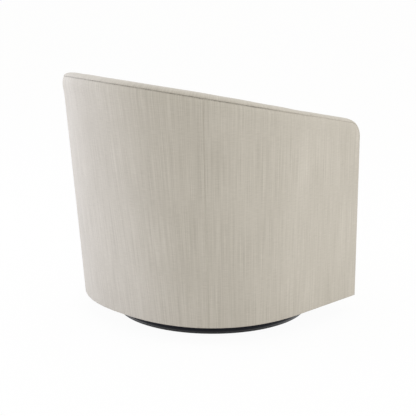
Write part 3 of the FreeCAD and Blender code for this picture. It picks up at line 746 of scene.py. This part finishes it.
# %% Where an upright seam runs
def seam_angle(z, seam_half, seam_lean, side, back_low, back_high):
    """Angle on the form at which an upright seam passes, for an array of heights."""
    angles = np.linspace(0.02, math.pi / 2, 400)
    found = []
    for height in np.atleast_1d(z):
        across = form_place(angles, height, side, back_low, back_high)[:, 0]
        goal = seam_half + (height - shell_bottom) * lean(seam_lean)
        found.append(np.interp(-goal, -across, angles))
    return np.array(found)


outer_seam = (0.258, 1.5)    # half distance between the seams at the floor edge, and their lean in degrees
plain_back = (None, None)    # outside, the back is on the form itself
at_600_mm = seam_angle(0.6, *outer_seam, 0.0, *plain_back)[0]
print("the outside seam runs at", round(math.degrees(at_600_mm), 1), "degrees from the arm")


# %% Threads of the round back
def round_threads(first, last, columns, rows, foot, inset, seam, backs, short=0.0):
    """Threads of the round back. First and last are 0 for an arm's end and 1 or -1 for the seams."""
    grid = []
    for share in np.linspace(0, 1, columns):
        height = np.full(rows.shape, 0.6)
        for _ in range(4):
            turned = seam_angle(height, *seam, inset, *backs)
            ends = {0: np.zeros_like(turned), 1: turned, -1: math.pi - turned}
            angle = ends[first] + (ends[last] - ends[first]) * share
            top = seam_height(angle, inset, *backs)[-1] - short
            height = foot + (top - foot) * rows
        grid.append(form_place(angle, height, inset, *backs))
    return np.array(grid)


sample = round_threads(1, -1, 3, np.linspace(0, 1, 3), cover_bottom, 0.0, outer_seam, plain_back)
print("middle thread of the back from", sample[1, 0].round(3), "to", sample[1, -1].round(3))


# %% Threads of the arm
def arm_threads(columns, rows, foot, inset, short=0.0):
    """Threads of the straight arm and its corner, from the arm front back to the start of the curve."""
    tops = []
    for angle in np.linspace(0, turn, 14):
        tops.append(corner + corner_normal(angle) * (corner_radius - short))
    last = tops[-1]
    run = (curve_start - last[1]) / top_run[1]
    tops += [last + top_run * run * share for share in np.linspace(0, 1, columns)[1:]]
    grid = []
    for top in tops:
        forward = (curve_start - top[1]) / (curve_start + arm_reach)
        drawn = front_run[1] / front_run[2] * (top[2] - foot) * max(forward, 0)
        bottom = np.array([0, top[1] - drawn, foot])
        line = bottom + (top - bottom) * rows[:, None]
        line[:, 0] = half_at(line[:, 2]) - inset
        grid.append(line)
    return np.array(grid)


sample = arm_threads(3, np.linspace(0, 1, 3), cover_bottom, 0.0)
print("first thread of the arm from", sample[0, 0].round(3), "to", sample[0, -1].round(3))


# %% Whole panels of threads
def side_grid(foot, inset, seam, backs, step, radius, short=0.0):
    """The whole side panel on the sitter's left: arm front, corner, arm and round back to the seam."""
    rows = graded(0.6, step, radius)      # a thread is about 0.6 m long, and a little more on the back
    arm = arm_threads(60, rows, foot, inset, short)
    bend = round_threads(0, 1, 60, rows, foot, inset, seam, backs, short)
    grid = np.concatenate([arm, bend[1:]])
    along = lengths_along(grid[:, grid.shape[1] // 2])
    near_front = (corner_radius * (1 - np.cos(np.linspace(0, math.pi / 2, 14))))[:-1] / along[-1]
    rest = graded(along[-1], step, radius)
    places = np.concatenate([near_front, rest[rest > near_front[-1] + 0.4 * step / along[-1]]])
    return respaced(grid, places)


def back_grid(foot, inset, seam, backs, step, radius, short=0.0):
    """The whole panel between the two upright seams at the back."""
    rows = graded(0.65, step, radius)
    grid = round_threads(1, -1, 90, rows, foot, inset, seam, backs, short)
    along = lengths_along(grid[:, grid.shape[1] // 2])
    return respaced(grid, graded(along[-1], step, radius))


def flipped(grid):
    """The same panel on the sitter's right."""
    return grid * np.array([-1, 1, 1])


mesh_step, edge_step = 0.0085, 0.0045
outside_side = side_grid(cover_bottom, 0.0, outer_seam, plain_back, mesh_step, edge_step)
outside_middle = back_grid(cover_bottom, 0.0, outer_seam, plain_back, mesh_step, edge_step)
print("threads on an arm panel:", len(outside_side), "and on the back panel:", len(outside_middle))

# %% Sew the outside covers
outer_pull, outer_swell = 0.0038, 0.0019     # how far the shoulder is drawn in at the seam, and swells below it


def outside_relief(seed_shift):
    """The unevenness of one outside panel: gathers of about half a millimetre that fade over 18 mm, and
    hollows of a fifth of a millimetre. The shift gives each panel its own."""
    def relief(grid, rim, to_top):
        along = np.broadcast_to((lengths_along(grid[:, -1]) + seed_shift)[:, None], to_top.shape)
        full = fullness_along(grid[:, -1:, 1])
        small = seam_gathers(to_top, along, 0.00055, 0.018) + shallow_hollows(along, grid[..., 2], 0.00022)
        return soft_shoulder(to_top, outer_pull * full, outer_swell * full) + small * np.clip(rim / 0.004, 0, 1)
    return relief


outside_back = sewn_panel("outside_back", outside_middle, 1, upholstery, cloth_from=0.0,
                          relief=outside_relief(0.3))
outside_left = sewn_panel("outside_arm_left", outside_side, 1, upholstery, cloth_from=1.3,
                          relief=outside_relief(1.7))
outside_right = sewn_panel("outside_arm_right", flipped(outside_side), -1, upholstery, cloth_from=2.9,
                           relief=outside_relief(2.4))

# %% [markdown]
# ## Fibreboard under the covers
# Under each outside cover lies a panel of bent fibreboard. Its top edge stops a little below the seam, so
# that the wadding can round the shoulder. It is the same grid of threads, set in by the thickness of the
# cover.

# %% Cut the fibreboard to the form
cover_thickness, board_thickness, board_gap = 0.0025, 0.003, 0.0001
board_edge = (0.0006, 0.0005)


def board_panel(name, grid, outwards):
    """A panel of fibreboard: thin, with crisp edges and no relief."""
    return sewn_panel(name, grid, outwards, fibreboard, top=board_edge, sides=board_edge, foot=board_edge,
                      thickness=board_thickness - board_gap)


board_threads = dict(foot=0.0722, inset=cover_thickness + board_gap, seam=outer_seam, backs=plain_back,
                     step=0.02, radius=0.003, short=0.008)
board_side = side_grid(**board_threads)
back_board = board_panel("back_fibreboard", back_grid(**board_threads), 1)
left_board = board_panel("arm_fibreboard_left", board_side, 1)
right_board = board_panel("arm_fibreboard_right", flipped(board_side), -1)

# %% [markdown]
# ## The top band
# One long strip runs up an arm front, over the corner, round the whole top and down the other arm front. It
# is padded, so its section is an arch with soft shoulders, and it dips at both seams. Sweeping one section
# along a curve would twist it where the wall leans, so each station takes its outer and inner end from the
# form itself. The inner end keeps to the room of the chair, which is narrower where the back is thickest.

# %% Stations along the top band
inner_pull, inner_swell = 0.0026, 0.0020     # the same as on the outside, for the inside covers


def band_stations(step):
    """Rows of (outer end, inner end, direction of the arch) from the left foot to the right foot."""
    foot = corner + front_normal * corner_radius
    foot = foot + front_run * ((cover_bottom - foot[2]) / front_run[2])
    rise = np.linalg.norm(corner + front_normal * corner_radius - foot)
    places = [(foot + front_run * rise * share, front_normal)
              for share in np.linspace(0, 1, int(rise / step))]
    for angle in np.linspace(0, turn, 22)[1:]:
        normal = corner_normal(angle)
        places.append((corner + normal * corner_radius, normal))
    start = places[-1][0]
    run = (curve_start - start[1]) / top_run[1]
    places += [(start + top_run * run * share, top_normal)
               for share in np.linspace(0, 1, int(run / step))[1:]]
    arm = []
    for place, normal in places:
        full = fullness_along(place[1])
        ends = [np.array([half_at(place[2]) - inset, place[1], place[2]])
                for inset in (outer_pull * full, wall - inner_pull * full)]
        arm.append((ends[0], ends[1], normal))
    angles = np.linspace(0, math.pi, 1200)
    rims = []
    for inset, pull, back in ((0.0, outer_pull, 0.0), (wall, -inner_pull, lumbar)):
        rim = form_place(angles, seam_height(angles, inset, back, inset), inset, back, inset)
        drawn = pull * fullness_along(rim[:, 1])
        form = (inset + drawn, back + drawn, inset + drawn)
        rims.append(form_place(angles, seam_height(angles, *form), *form))
    along = lengths_along((rims[0] + rims[1]) / 2)
    wanted = np.linspace(0, along[-1], int(along[-1] / step))[1:-1]
    rims = [points_at(rim, along, wanted) for rim in rims]
    round_part = [(outer, inner, top_normal) for outer, inner in zip(*rims)]
    mirror = np.array([-1, 1, 1])
    other = [(outer * mirror, inner * mirror, normal) for outer, inner, normal in arm[::-1]]
    return arm + round_part + other


print("stations 50 mm apart:", len(band_stations(0.05)))


# %% Sew the top band
def crown_at(y):
    """The band is stuffed fuller behind the sitter's back than on the arms."""
    return 0.0100 + 0.0050 * np.clip(y / 0.28, 0, 1)


def top_band():
    """The whole band: an arch over each station, closed below and at both feet. The cloth dips by about a
    millimetre along both seams, and puckers there by a third of one."""
    stations = band_stations(0.007)
    turns = np.linspace(0, math.pi, 41)
    shoulder = 2 / 2.3          # the arch is a little squarer than an ellipse
    centres = np.array([(outer + inner) / 2 for outer, inner, _ in stations])
    along = lengths_along(centres)
    points, cloth = [], []
    for (outer, inner, normal), distance in zip(stations, along):
        middle, half = (outer + inner) / 2, (outer - inner) / 2
        width = np.linalg.norm(half)
        crown = crown_at(middle[1])
        side = np.sign(np.cos(turns)) * np.abs(np.cos(turns)) ** shoulder
        height = crown * np.sin(turns) ** shoulder
        side = side * (1 - roll(height, 0.003, 0.0012) / width)
        pucker = 0.0003 * gathers(distance * 1.3 + np.sign(side) * 0.2) * np.exp(-height / 0.004)
        height = height + 0.0003 * hollows_across(distance * 1.4) * (height / crown) + pucker * np.sin(turns)
        arch = middle + side[:, None] * half + height[:, None] * normal
        under = [middle + half * share * (1 - 0.0013 / width) for share in np.linspace(-1, 1, 7)[1:-1]]
        points += list(arch) + under
        # shade painted into the cloth's colour along both seams of the band
        shade = painted_shade_in_seam(height) * painted_shade_along_top(middle[1])
        cloth += [(distance + 5.0, place * width * 1.15, dark) for place, dark in zip(side, shade)]
        cloth += [(distance + 5.0, 0, 0)] * len(under)
    ring = len(turns) + 5
    faces = [[s * ring + i, s * ring + (i + 1) % ring, (s + 1) * ring + (i + 1) % ring, (s + 1) * ring + i]
             for s in range(len(stations) - 1) for i in range(ring)]
    faces.append(list(range(ring))[::-1])
    faces.append([(len(stations) - 1) * ring + i for i in range(ring)])
    print("top band:", len(stations), "stations over", round(along[-1], 2), "m")
    return new_piece("top_band", points, faces, upholstery, cloth)


band = top_band()

# %% [markdown]
# ## Inside covers
# The inside back and arms are padded and pulled tight, in three panels with upright seams. They follow the
# room of the chair: the back is thickest at the seat, where it supports the sitter, and thins towards the
# top. Each panel swells a little between its seams.

# %% Sew the inside covers
inner_seam = (0.178, 0.0)
room_back = (lumbar, wall)
inside_foot = 0.2505         # the inside covers end below the deck, on the seat frame


def inside_relief(swell, seed_shift):
    """The unevenness of one inside panel, with its swell above the cushion."""
    def relief(grid, rim, to_top):
        above = np.clip((grid[..., 2] - 0.40) / 0.10, 0, 1)
        crown = swell * (1 - np.exp(-rim / 0.08)) * above
        along = np.broadcast_to((lengths_along(grid[:, -1]) + seed_shift)[:, None], to_top.shape)
        full = fullness_along(grid[:, -1:, 1])
        small = seam_gathers(to_top, along, 0.0005, 0.02) + shallow_hollows(along, grid[..., 2], 0.0003)
        return (crown + soft_shoulder(to_top, inner_pull * full, inner_swell * full)
                + small * np.clip(rim / 0.004, 0, 1))
    return relief


def thin_at_rim(rim):
    """Thickness of an inside panel: thin where it is stapled, full of foam elsewhere."""
    return 0.004 + 0.014 * np.clip((rim - 0.012) / 0.03, 0, 1)


inside_side = side_grid(inside_foot, wall, inner_seam, room_back, 0.009, edge_step)
inside_middle = back_grid(inside_foot, wall, inner_seam, room_back, 0.009, edge_step)
inside_back = sewn_panel("inside_back", inside_middle, -1, upholstery, cloth_from=7.1,
                         relief=inside_relief(0.006, 3.1), backing=thin_at_rim)
inside_left = sewn_panel("inside_arm_left", inside_side, -1, upholstery, cloth_from=8.3,
                         relief=inside_relief(0.002, 4.2), backing=thin_at_rim)
inside_right = sewn_panel("inside_arm_right", flipped(inside_side), 1, upholstery, cloth_from=9.7,
                          relief=inside_relief(0.002, 5.3), backing=thin_at_rim)

# %% [markdown]
# ## The bowed apron and the deck
# Between the arms the front bows out in a shallow arc, and its cover is tucked behind the arm fronts.
# Behind it lies the deck, the flat padded platform that carries the cushion. Upholsterers save the good
# fabric there: only a strip along the front edge is cut from it, and the rest is plain decking cloth.

# %% Sew the apron
front_side, front_bow = arm_reach - 0.0005, 0.0725   # the bow's ends, and how far its middle stands forward
deck_top = 0.290
bow_half = half_at(shell_bottom) - wall
bow_radius = (bow_half ** 2 + front_bow ** 2) / (2 * front_bow)
bow_centre = bow_radius - front_side - front_bow


def bow_y(x, inset=0.0):
    """Y of the bowed front for an X."""
    return bow_centre - np.sqrt((bow_radius - inset) ** 2 - x ** 2)


apron_tuck = 0.0018          # the apron goes this far behind each arm front


def apron_grid(step, radius):
    """Columns across the bowed front, from the hem to just under the deck."""
    rows = graded(0.234, step, radius)
    height = cover_bottom + (deck_top - 0.0025 - cover_bottom) * rows
    columns = graded(2 * bow_half, step, radius) * 2 - 1
    grid = np.zeros((len(columns), len(rows), 3))
    for i, share in enumerate(columns):
        x = share * (half_at(height) - wall + apron_tuck)
        grid[i] = np.stack([x, bow_y(x), height], axis=1)
    return grid


def apron_relief(grid, rim, to_top):
    """The apron is nearly flat: a slight swell between its edges, and shallow hollows."""
    return 0.0007 * (1 - np.exp(-rim / 0.03)) + shallow_hollows(grid[..., 0] + 6, grid[..., 2], 0.0003)


apron = sewn_panel("front_apron", apron_grid(0.009, 0.006), 1, upholstery, top=(0.010, 0.006), foot=HEM,
                   thickness=0.010, cloth_from=11.0, relief=apron_relief)


# %% Lay the deck
def deck_grid(front, back, step):
    """Columns across the deck. Front and back give the Y of a column's ends for its X."""
    room_half = half_at(deck_top) - wall - 0.0005
    columns = np.sin((graded(2 * room_half, step, 0.003) - 0.5) * math.pi) * room_half
    grid = []
    for x in columns:
        start, end = front(x), back(x)
        y = start + (end - start) * graded(0.4, step, 0.003)
        grid.append(np.stack([np.full_like(y, x), y, np.full_like(y, deck_top)], axis=1))
    return np.array(grid)


def room_back_y(x):
    """Y of the inside back at the deck for an X."""
    angles = np.linspace(0, math.pi / 2, 500)
    curve = form_place(angles, deck_top, wall, *room_back)
    return np.interp(-abs(x), -curve[:, 0], curve[:, 1]) - 0.0005


def lay_flat(piece):
    """Stores the flat position on a level panel, whose warp runs from front to back."""
    mesh = piece.data
    points = np.array([v.co for v in mesh.vertices])
    cloth = np.stack([points[:, 0] + 13, points[:, 1], np.zeros(len(points))], axis=1)
    mesh.attributes["cloth"].data.foreach_set("vector", cloth.astype(np.float32).ravel())


strip_width = 0.105
deck_seam = (0.004, 0.0012)
deck_joins = dict(top=deck_seam, sides=deck_seam, thickness=0.012)
deck = sewn_panel("deck", deck_grid(lambda x: bow_y(x) + strip_width, room_back_y, 0.012), 1, deck_fabric,
                  foot=deck_seam, **deck_joins)
strip_grid = deck_grid(lambda x: bow_y(x, 0.0003), lambda x: bow_y(x) + strip_width, 0.012)
deck_strip = sewn_panel("deck_strip", strip_grid, 1, upholstery, foot=(0.006, 0.004), **deck_joins)
lay_flat(deck)
lay_flat(deck_strip)

# %% [markdown]
# ## The seat cushion
# A loose foam cushion with a wrap of wadding, in a boxed cover: a top panel and a bottom panel joined by a
# band with two seams. The stuffing pushes the cover out everywhere but at the seams. That is what a cloth
# simulation does well, so the cushion starts as a slightly small block, is remeshed evenly and blown up
# with the cloth solver. How far a point may move is capped, because the cushion has to stay clear of the
# arms.

# %% Outline of the cushion
cushion_gap, cushion_nose = 0.002, 0.008     # clear of the arms, and standing out over the apron


def cushion_outline(z, inset, count=260):
    """A closed outline: round back, straight sides, rounded front corners and a bowed front."""
    share = (z - shell_bottom) / (form_top - shell_bottom)
    back = lumbar - (lumbar - wall) * share + cushion_gap + inset
    angles = np.linspace(0, math.pi, 200)
    fullness = low_fullness + (high_fullness - low_fullness) * share
    round_back = plan_place(z, angles, wall + cushion_gap + inset, back, fullness)
    half = half_at(z) - wall - cushion_gap - inset
    radius = bow_radius + cushion_nose - inset
    ends = bow_centre - math.sqrt(radius ** 2 - half ** 2)
    bow = np.linspace(-half, half, 120)
    front = np.stack([bow, bow_centre - np.sqrt(radius ** 2 - bow ** 2), np.full_like(bow, z)], axis=1)
    sides = np.linspace(curve_start, ends, 60)[1:-1]
    right = np.stack([np.full_like(sides, -half), sides, np.full_like(sides, z)], axis=1)
    left = right[::-1] * np.array([-1, 1, 1])
    loop = np.concatenate([round_back, right, front, left, round_back[:1]])
    along = lengths_along(loop)
    even = points_at(loop, along, np.linspace(0, along[-1], count, endpoint=False))
    return sum(np.roll(even, shift, axis=0) for shift in range(-3, 4)) / 7


cushion_low, lower_seam, upper_seam = 0.2910, 0.3015, 0.4300     # heights of the bottom and both seams
cushion_crown = 0.022                                            # the top's middle above the upper seam
print("cushion outline:", len(cushion_outline(upper_seam, 0.0)), "points")


# %% The cushion as a closed block
def cushion_block(small):
    """Closed mesh through outlines from the middle of the bottom to the middle of the top."""
    loops = [cushion_outline(cushion_low + small, 0.011 + small)]
    waist = ((lower_seam, 0.0), (0.325, 0.003), (0.366, 0.004), (0.405, 0.003), (upper_seam, 0.0))
    for height, inset in waist:
        loops.append(cushion_outline(height, inset + small))
    crown = ((0.004, 0.25), (0.012, 0.42), (0.03, 0.6), (0.06, 0.78), (0.11, 0.93), (0.17, 1.0))
    for spread, rise in crown:
        lift = np.array([0, 0, cushion_crown * rise - small])
        loops.append(cushion_outline(upper_seam, small + spread) + lift)
    count = len(loops[0])
    points = np.concatenate(loops + [[loops[0].mean(axis=0)], [loops[-1].mean(axis=0)]])
    faces = []
    for k in range(len(loops) - 1):
        for i in range(count):
            j = (i + 1) % count
            faces.append([k * count + i, k * count + j, (k + 1) * count + j, (k + 1) * count + i])
    bottom, top = len(points) - 2, len(points) - 1
    last = (len(loops) - 1) * count
    for i in range(count):
        j = (i + 1) % count
        faces.append([bottom, j, i])
        faces.append([top, last + i, last + j])
    return points, faces


blow_up_room = 0.005         # the block starts this much too small on all sides
points, faces = cushion_block(blow_up_room)
print("cushion block:", len(points), "points and", len(faces), "faces")


# %% Blow up the cushion with the cloth solver
def use_only(piece):
    """Selects one piece and makes it active, as Blender's operators want it."""
    bpy.ops.object.select_all(action="DESELECT")
    piece.select_set(True)
    bpy.context.view_layer.objects.active = piece


def blown_up(piece, voxel, pressure, cap, frames=20):
    """Remeshes a piece evenly, swells it with cloth under pressure and caps how far each point moves."""
    use_only(piece)
    remesh = piece.modifiers.new("even mesh", "REMESH")
    remesh.mode = "VOXEL"
    remesh.voxel_size = voxel
    bpy.ops.object.modifier_apply(modifier=remesh.name)
    before = np.array([v.co for v in piece.data.vertices])
    cloth = piece.modifiers.new("cloth", "CLOTH")
    cloth.settings.use_pressure = True
    cloth.settings.uniform_pressure_force = pressure
    cloth.settings.effector_weights.gravity = 0
    scene = bpy.context.scene
    for moment in range(1, frames + 1):
        scene.frame_set(moment)
    solved = piece.evaluated_get(bpy.context.evaluated_depsgraph_get()).to_mesh()
    after = np.array([v.co for v in solved.vertices])
    piece.modifiers.remove(cloth)
    scene.frame_set(1)
    moved = after - before
    far = np.linalg.norm(moved, axis=1, keepdims=True)
    after = before + moved * np.minimum(1, cap / np.maximum(far, 1e-9))
    piece.data.vertices.foreach_set("co", after.astype(np.float32).ravel())
    piece.data.update()
    print(piece.name, "moved", round(float(far.mean()) * 1000, 1), "mm on average before the cap")


cushion = new_piece("seat_cushion", points, faces, upholstery)
blown_up(cushion, voxel=0.006, pressure=4.0, cap=0.0065)

# %% [markdown]
# ## The seams of the cushion
# The remesh has smoothed away the seams, so they come now. Along both edges of the box the cover is drawn
# in to a narrow groove with small gathers on each side. The bottom lies flat on the deck. After that one
# subdivision rounds everything, and the cloth position is stored again: across the top, and round the box.

# %% Draw the cushion's seams
groove_depth, groove_width = 0.0034, 0.0022
pucker_height, pucker_reach = 0.0009, 0.012
near_outline = 0.03          # closer than this to the outline a point belongs to the sides of the cushion


def finish_cushion(piece):
    """Rounds the cushion, draws in its two seams, rests it flat on the deck and lays the fabric on it."""
    use_only(piece)
    smooth = piece.modifiers.new("finer mesh", "SUBSURF")
    smooth.levels = 1
    bpy.ops.object.modifier_apply(modifier=smooth.name)
    mesh = piece.data
    points = np.array([v.co for v in mesh.vertices])
    normals = np.array([v.normal for v in mesh.vertices])
    centre = np.array([0.0, -0.02])
    turned = np.arctan2(points[:, 1] - centre[1], points[:, 0] - centre[0])
    round_box = turned * 0.29
    outline = cushion_outline(upper_seam, 0.0)
    tree = KDTree(len(outline) * 4)
    closed = np.concatenate([outline, outline[:1]])
    dense = [closed[i] + (closed[i + 1] - closed[i]) * part / 4
             for i in range(len(outline)) for part in range(4)]
    for i, place in enumerate(dense):
        tree.insert((place[0], place[1], 0), i)
    tree.balance()
    rim = np.array([tree.find((p[0], p[1], 0))[2] for p in points])
    for height in (lower_seam, upper_seam):
        rows = np.abs(points[:, 2] - height) < 0.0016
        points[:, 2] = np.where(rows & (rim < 0.012), height, points[:, 2])
        away = np.sqrt((points[:, 2] - height) ** 2 + (rim * 0.6) ** 2)
        near = rim < near_outline
        groove = groove_depth * np.exp(-((points[:, 2] - height) / groove_width) ** 2) * near
        pucker = pucker_height * gathers(round_box) * np.exp(-away / pucker_reach) * near
        points = points + normals * (pucker - groove)[:, None]
    points[:, 2] = np.maximum(points[:, 2], deck_top + 0.0007)
    mesh.vertices.foreach_set("co", points.astype(np.float32).ravel())
    side = (points[:, 2] < upper_seam) & (rim < near_outline)
    cloth = np.zeros_like(points)
    cloth[:, 0] = np.where(side, round_box + 20, points[:, 0] + 17)
    cloth[:, 1] = np.where(side, points[:, 2], points[:, 1])
    attribute = mesh.attributes.get("cloth") or mesh.attributes.new("cloth", "FLOAT_VECTOR", "POINT")
    attribute.data.foreach_set("vector", cloth.astype(np.float32).ravel())
    mesh.shade_smooth()
    mesh.update()
    print("cushion stands", round(float(points[:, 2].max()), 3), "m high, with", len(points), "points")


finish_cushion(cushion)

# %% [markdown]
# ## Underneath
# Nobody looks under a chair in a shop, but a swivel chair shows its underside when it is turned over. The
# covers are turned under and stapled, and a black cloth with a cut-out for the swivel closes the bottom.
# Each of these is a flat ring between two outlines. The outlines have different numbers of points, so both
# are read off at the same angles round the swivel axis first, and a thickness modifier makes the cloth
# solid.

# %% Outline of the underside
def underside_outline(inset, z):
    """Outline of the whole seat from below: barrel, arm fronts and bowed front."""
    angles = np.linspace(0, math.pi, 200)
    back = form_place(angles, np.full_like(angles, z), inset)
    half = half_at(z) - inset
    inner = half_at(z) - wall
    front = -arm_reach + inset
    bow = np.linspace(-inner, inner, 100)
    nose = np.stack([bow, bow_y(bow, inset), np.full_like(bow, z)], axis=1)
    left = np.array([[half, front, z]])
    right = np.array([[-half, front, z]])
    right_end, left_end = np.array([[-inner, front, z]]), np.array([[inner, front, z]])
    loop = np.concatenate([back, right, right_end, nose, left_end, left, back[:1]])
    along = lengths_along(loop)
    return points_at(loop, along, np.arange(0, along[-1], 0.001))


def polar(loop, count):
    """The loop's points at even angles round the swivel axis."""
    turned = np.unwrap(np.arctan2(loop[:, 1], loop[:, 0]))
    order = np.argsort(turned)
    far = np.linalg.norm(loop[:, :2], axis=1)
    wanted = np.linspace(0, 2 * math.pi, count, endpoint=False)
    radius = np.interp(wanted, turned[order], far[order], period=2 * math.pi)
    return wanted, radius


around = 720
turn_in, dust_in, hem_in = 0.0012, 0.0085, 0.0240     # how far inside the covers each outline runs
angles, turn_edge = polar(underside_outline(turn_in, shell_bottom), around)
_, hem_edge = polar(underside_outline(hem_in, shell_bottom), around)
_, dust_edge = polar(underside_outline(dust_in, shell_bottom), around)
print("the hem lies", round(1000 * float(turn_edge.min())), "to", round(1000 * float(turn_edge.max())),
      "mm from the axis")


# %% Hem and dust cover
def flat_ring(name, inside, outside, angles, z, sag, material, thickness):
    """A flat ring between two outlines, given as distances from the axis at the same angles."""
    rings = 14
    points = []
    for k in range(rings + 1):
        share = k / rings
        radius = inside + (outside - inside) * share
        drop = sag * math.sin(math.pi * share) * (1 + 0.5 * gathers(angles * 0.3))
        points.append(np.stack([radius * np.cos(angles), radius * np.sin(angles), z - drop], axis=1))
    points = np.concatenate(points)
    count = len(angles)
    faces = []
    for k in range(rings):
        for i in range(count):
            j = (i + 1) % count
            faces.append([k * count + i, (k + 1) * count + i, (k + 1) * count + j, k * count + j])
    cloth = np.stack([points[:, 0] + 25, points[:, 1], points[:, 2]], axis=1)
    piece = new_piece(name, points, faces, material, cloth)
    use_only(piece)
    solid = piece.modifiers.new("thickness", "SOLIDIFY")
    solid.thickness = thickness
    solid.offset = 0.0
    bpy.ops.object.modifier_apply(modifier=solid.name)
    return piece


square_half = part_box("swivel_mount_board")[1].x + 0.001
square_edge = square_half / np.maximum(np.abs(np.cos(angles)), np.abs(np.sin(angles)))
hem = flat_ring("turned_hem", hem_edge, turn_edge, angles, z=0.0534, sag=0.0, material=upholstery,
                thickness=0.0010)
dust_cover = flat_ring("bottom_dust_cover", square_edge, dust_edge, angles, z=0.0523, sag=0.0012,
                       material=dust_cloth, thickness=0.0006)
print("dust cover", [round(v, 3) for v in dust_cover.dimensions], "m")


# %% Staples
def staples(step):
    """Thin wire staples through the dust cover, just inside its edge."""
    points, faces = [], []
    row = dust_edge - 0.008
    loop = np.stack([row * np.cos(angles), row * np.sin(angles)], axis=1)
    loop = np.concatenate([loop, loop[:1]])
    along = lengths_along(loop)
    for place in np.arange(step / 2, along[-1], step):
        spot, ahead = points_at(loop, along, np.array([place, place + 0.002]))
        run = (ahead - spot) / (np.linalg.norm(ahead - spot) + 1e-9)
        side = np.array([-run[1], run[0]])
        start = len(points)
        for z in (0.0512, 0.0521):
            for a, b in ((-1, -1), (1, -1), (1, 1), (-1, 1)):
                flat = spot + run * a * 0.005 + side * b * 0.0005
                points.append((flat[0], flat[1], z))
        quads = ((0, 3, 2, 1), (4, 5, 6, 7), (0, 1, 5, 4), (1, 2, 6, 5), (2, 3, 7, 6), (3, 0, 4, 7))
        faces += [[start + i for i in quad] for quad in quads]
    piece = new_piece("dust_cover_staples", points, faces, zinc_steel)
    print(len(faces) // 6, "staples")
    return piece


staple_row = staples(0.045)

# %% [markdown]
# ## What moves with what
# The whole upholstered body turns on the swivel, the ring stays on the floor, and the cushion lifts out.
# Each new piece says which body it rides on and which parts of the construction model it stands for.

# %% Ride and replace
def dress(piece, body, slot, *stands_for):
    """Says what a piece rides on and which parts it stands for. The slot, what it is made of, is not used."""
    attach(piece, body)
    if stands_for:
        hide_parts(*stands_for)
    return piece


dress(back_board, "chair", "fibreboard", "outside_back_panel")
dress(left_board, "chair", "fibreboard", "outside_arm_panel_left")
dress(right_board, "chair", "fibreboard", "outside_arm_panel_right")
dress(outside_back, "chair", "upholstery_fabric", "outside_back_cover")
dress(outside_left, "chair", "upholstery_fabric", "outside_arm_cover_left")
dress(outside_right, "chair", "upholstery_fabric", "outside_arm_cover_right")
dress(band, "chair", "upholstery_fabric", "top_band_cover", "top_band_pad")
dress(inside_back, "chair", "upholstery_fabric", "inside_back_cover", "inside_back_foam")
dress(inside_left, "chair", "upholstery_fabric", "inside_arm_cover_left", "inside_arm_foam_left")
dress(inside_right, "chair", "upholstery_fabric", "inside_arm_cover_right", "inside_arm_foam_right")
dress(apron, "chair", "upholstery_fabric", "apron_cover", "apron_pad")
dress(deck, "chair", "deck_cloth", "deck_cover", "deck_pad")
dress(deck_strip, "chair", "upholstery_fabric")
dress(hem, "chair", "upholstery_fabric")
dress(dust_cover, "chair", "dust_cloth", "dust_cover")
dress(staple_row, "chair", "zinc_steel")
dress(cushion, "cushion", "upholstery_fabric", "seat_cushion_cover", "seat_cushion_foam")

print("5 sheets and 8 padded pieces declared")

# %% [markdown]
# The dressed chair may stand only a few millimetres proud of the construction model.
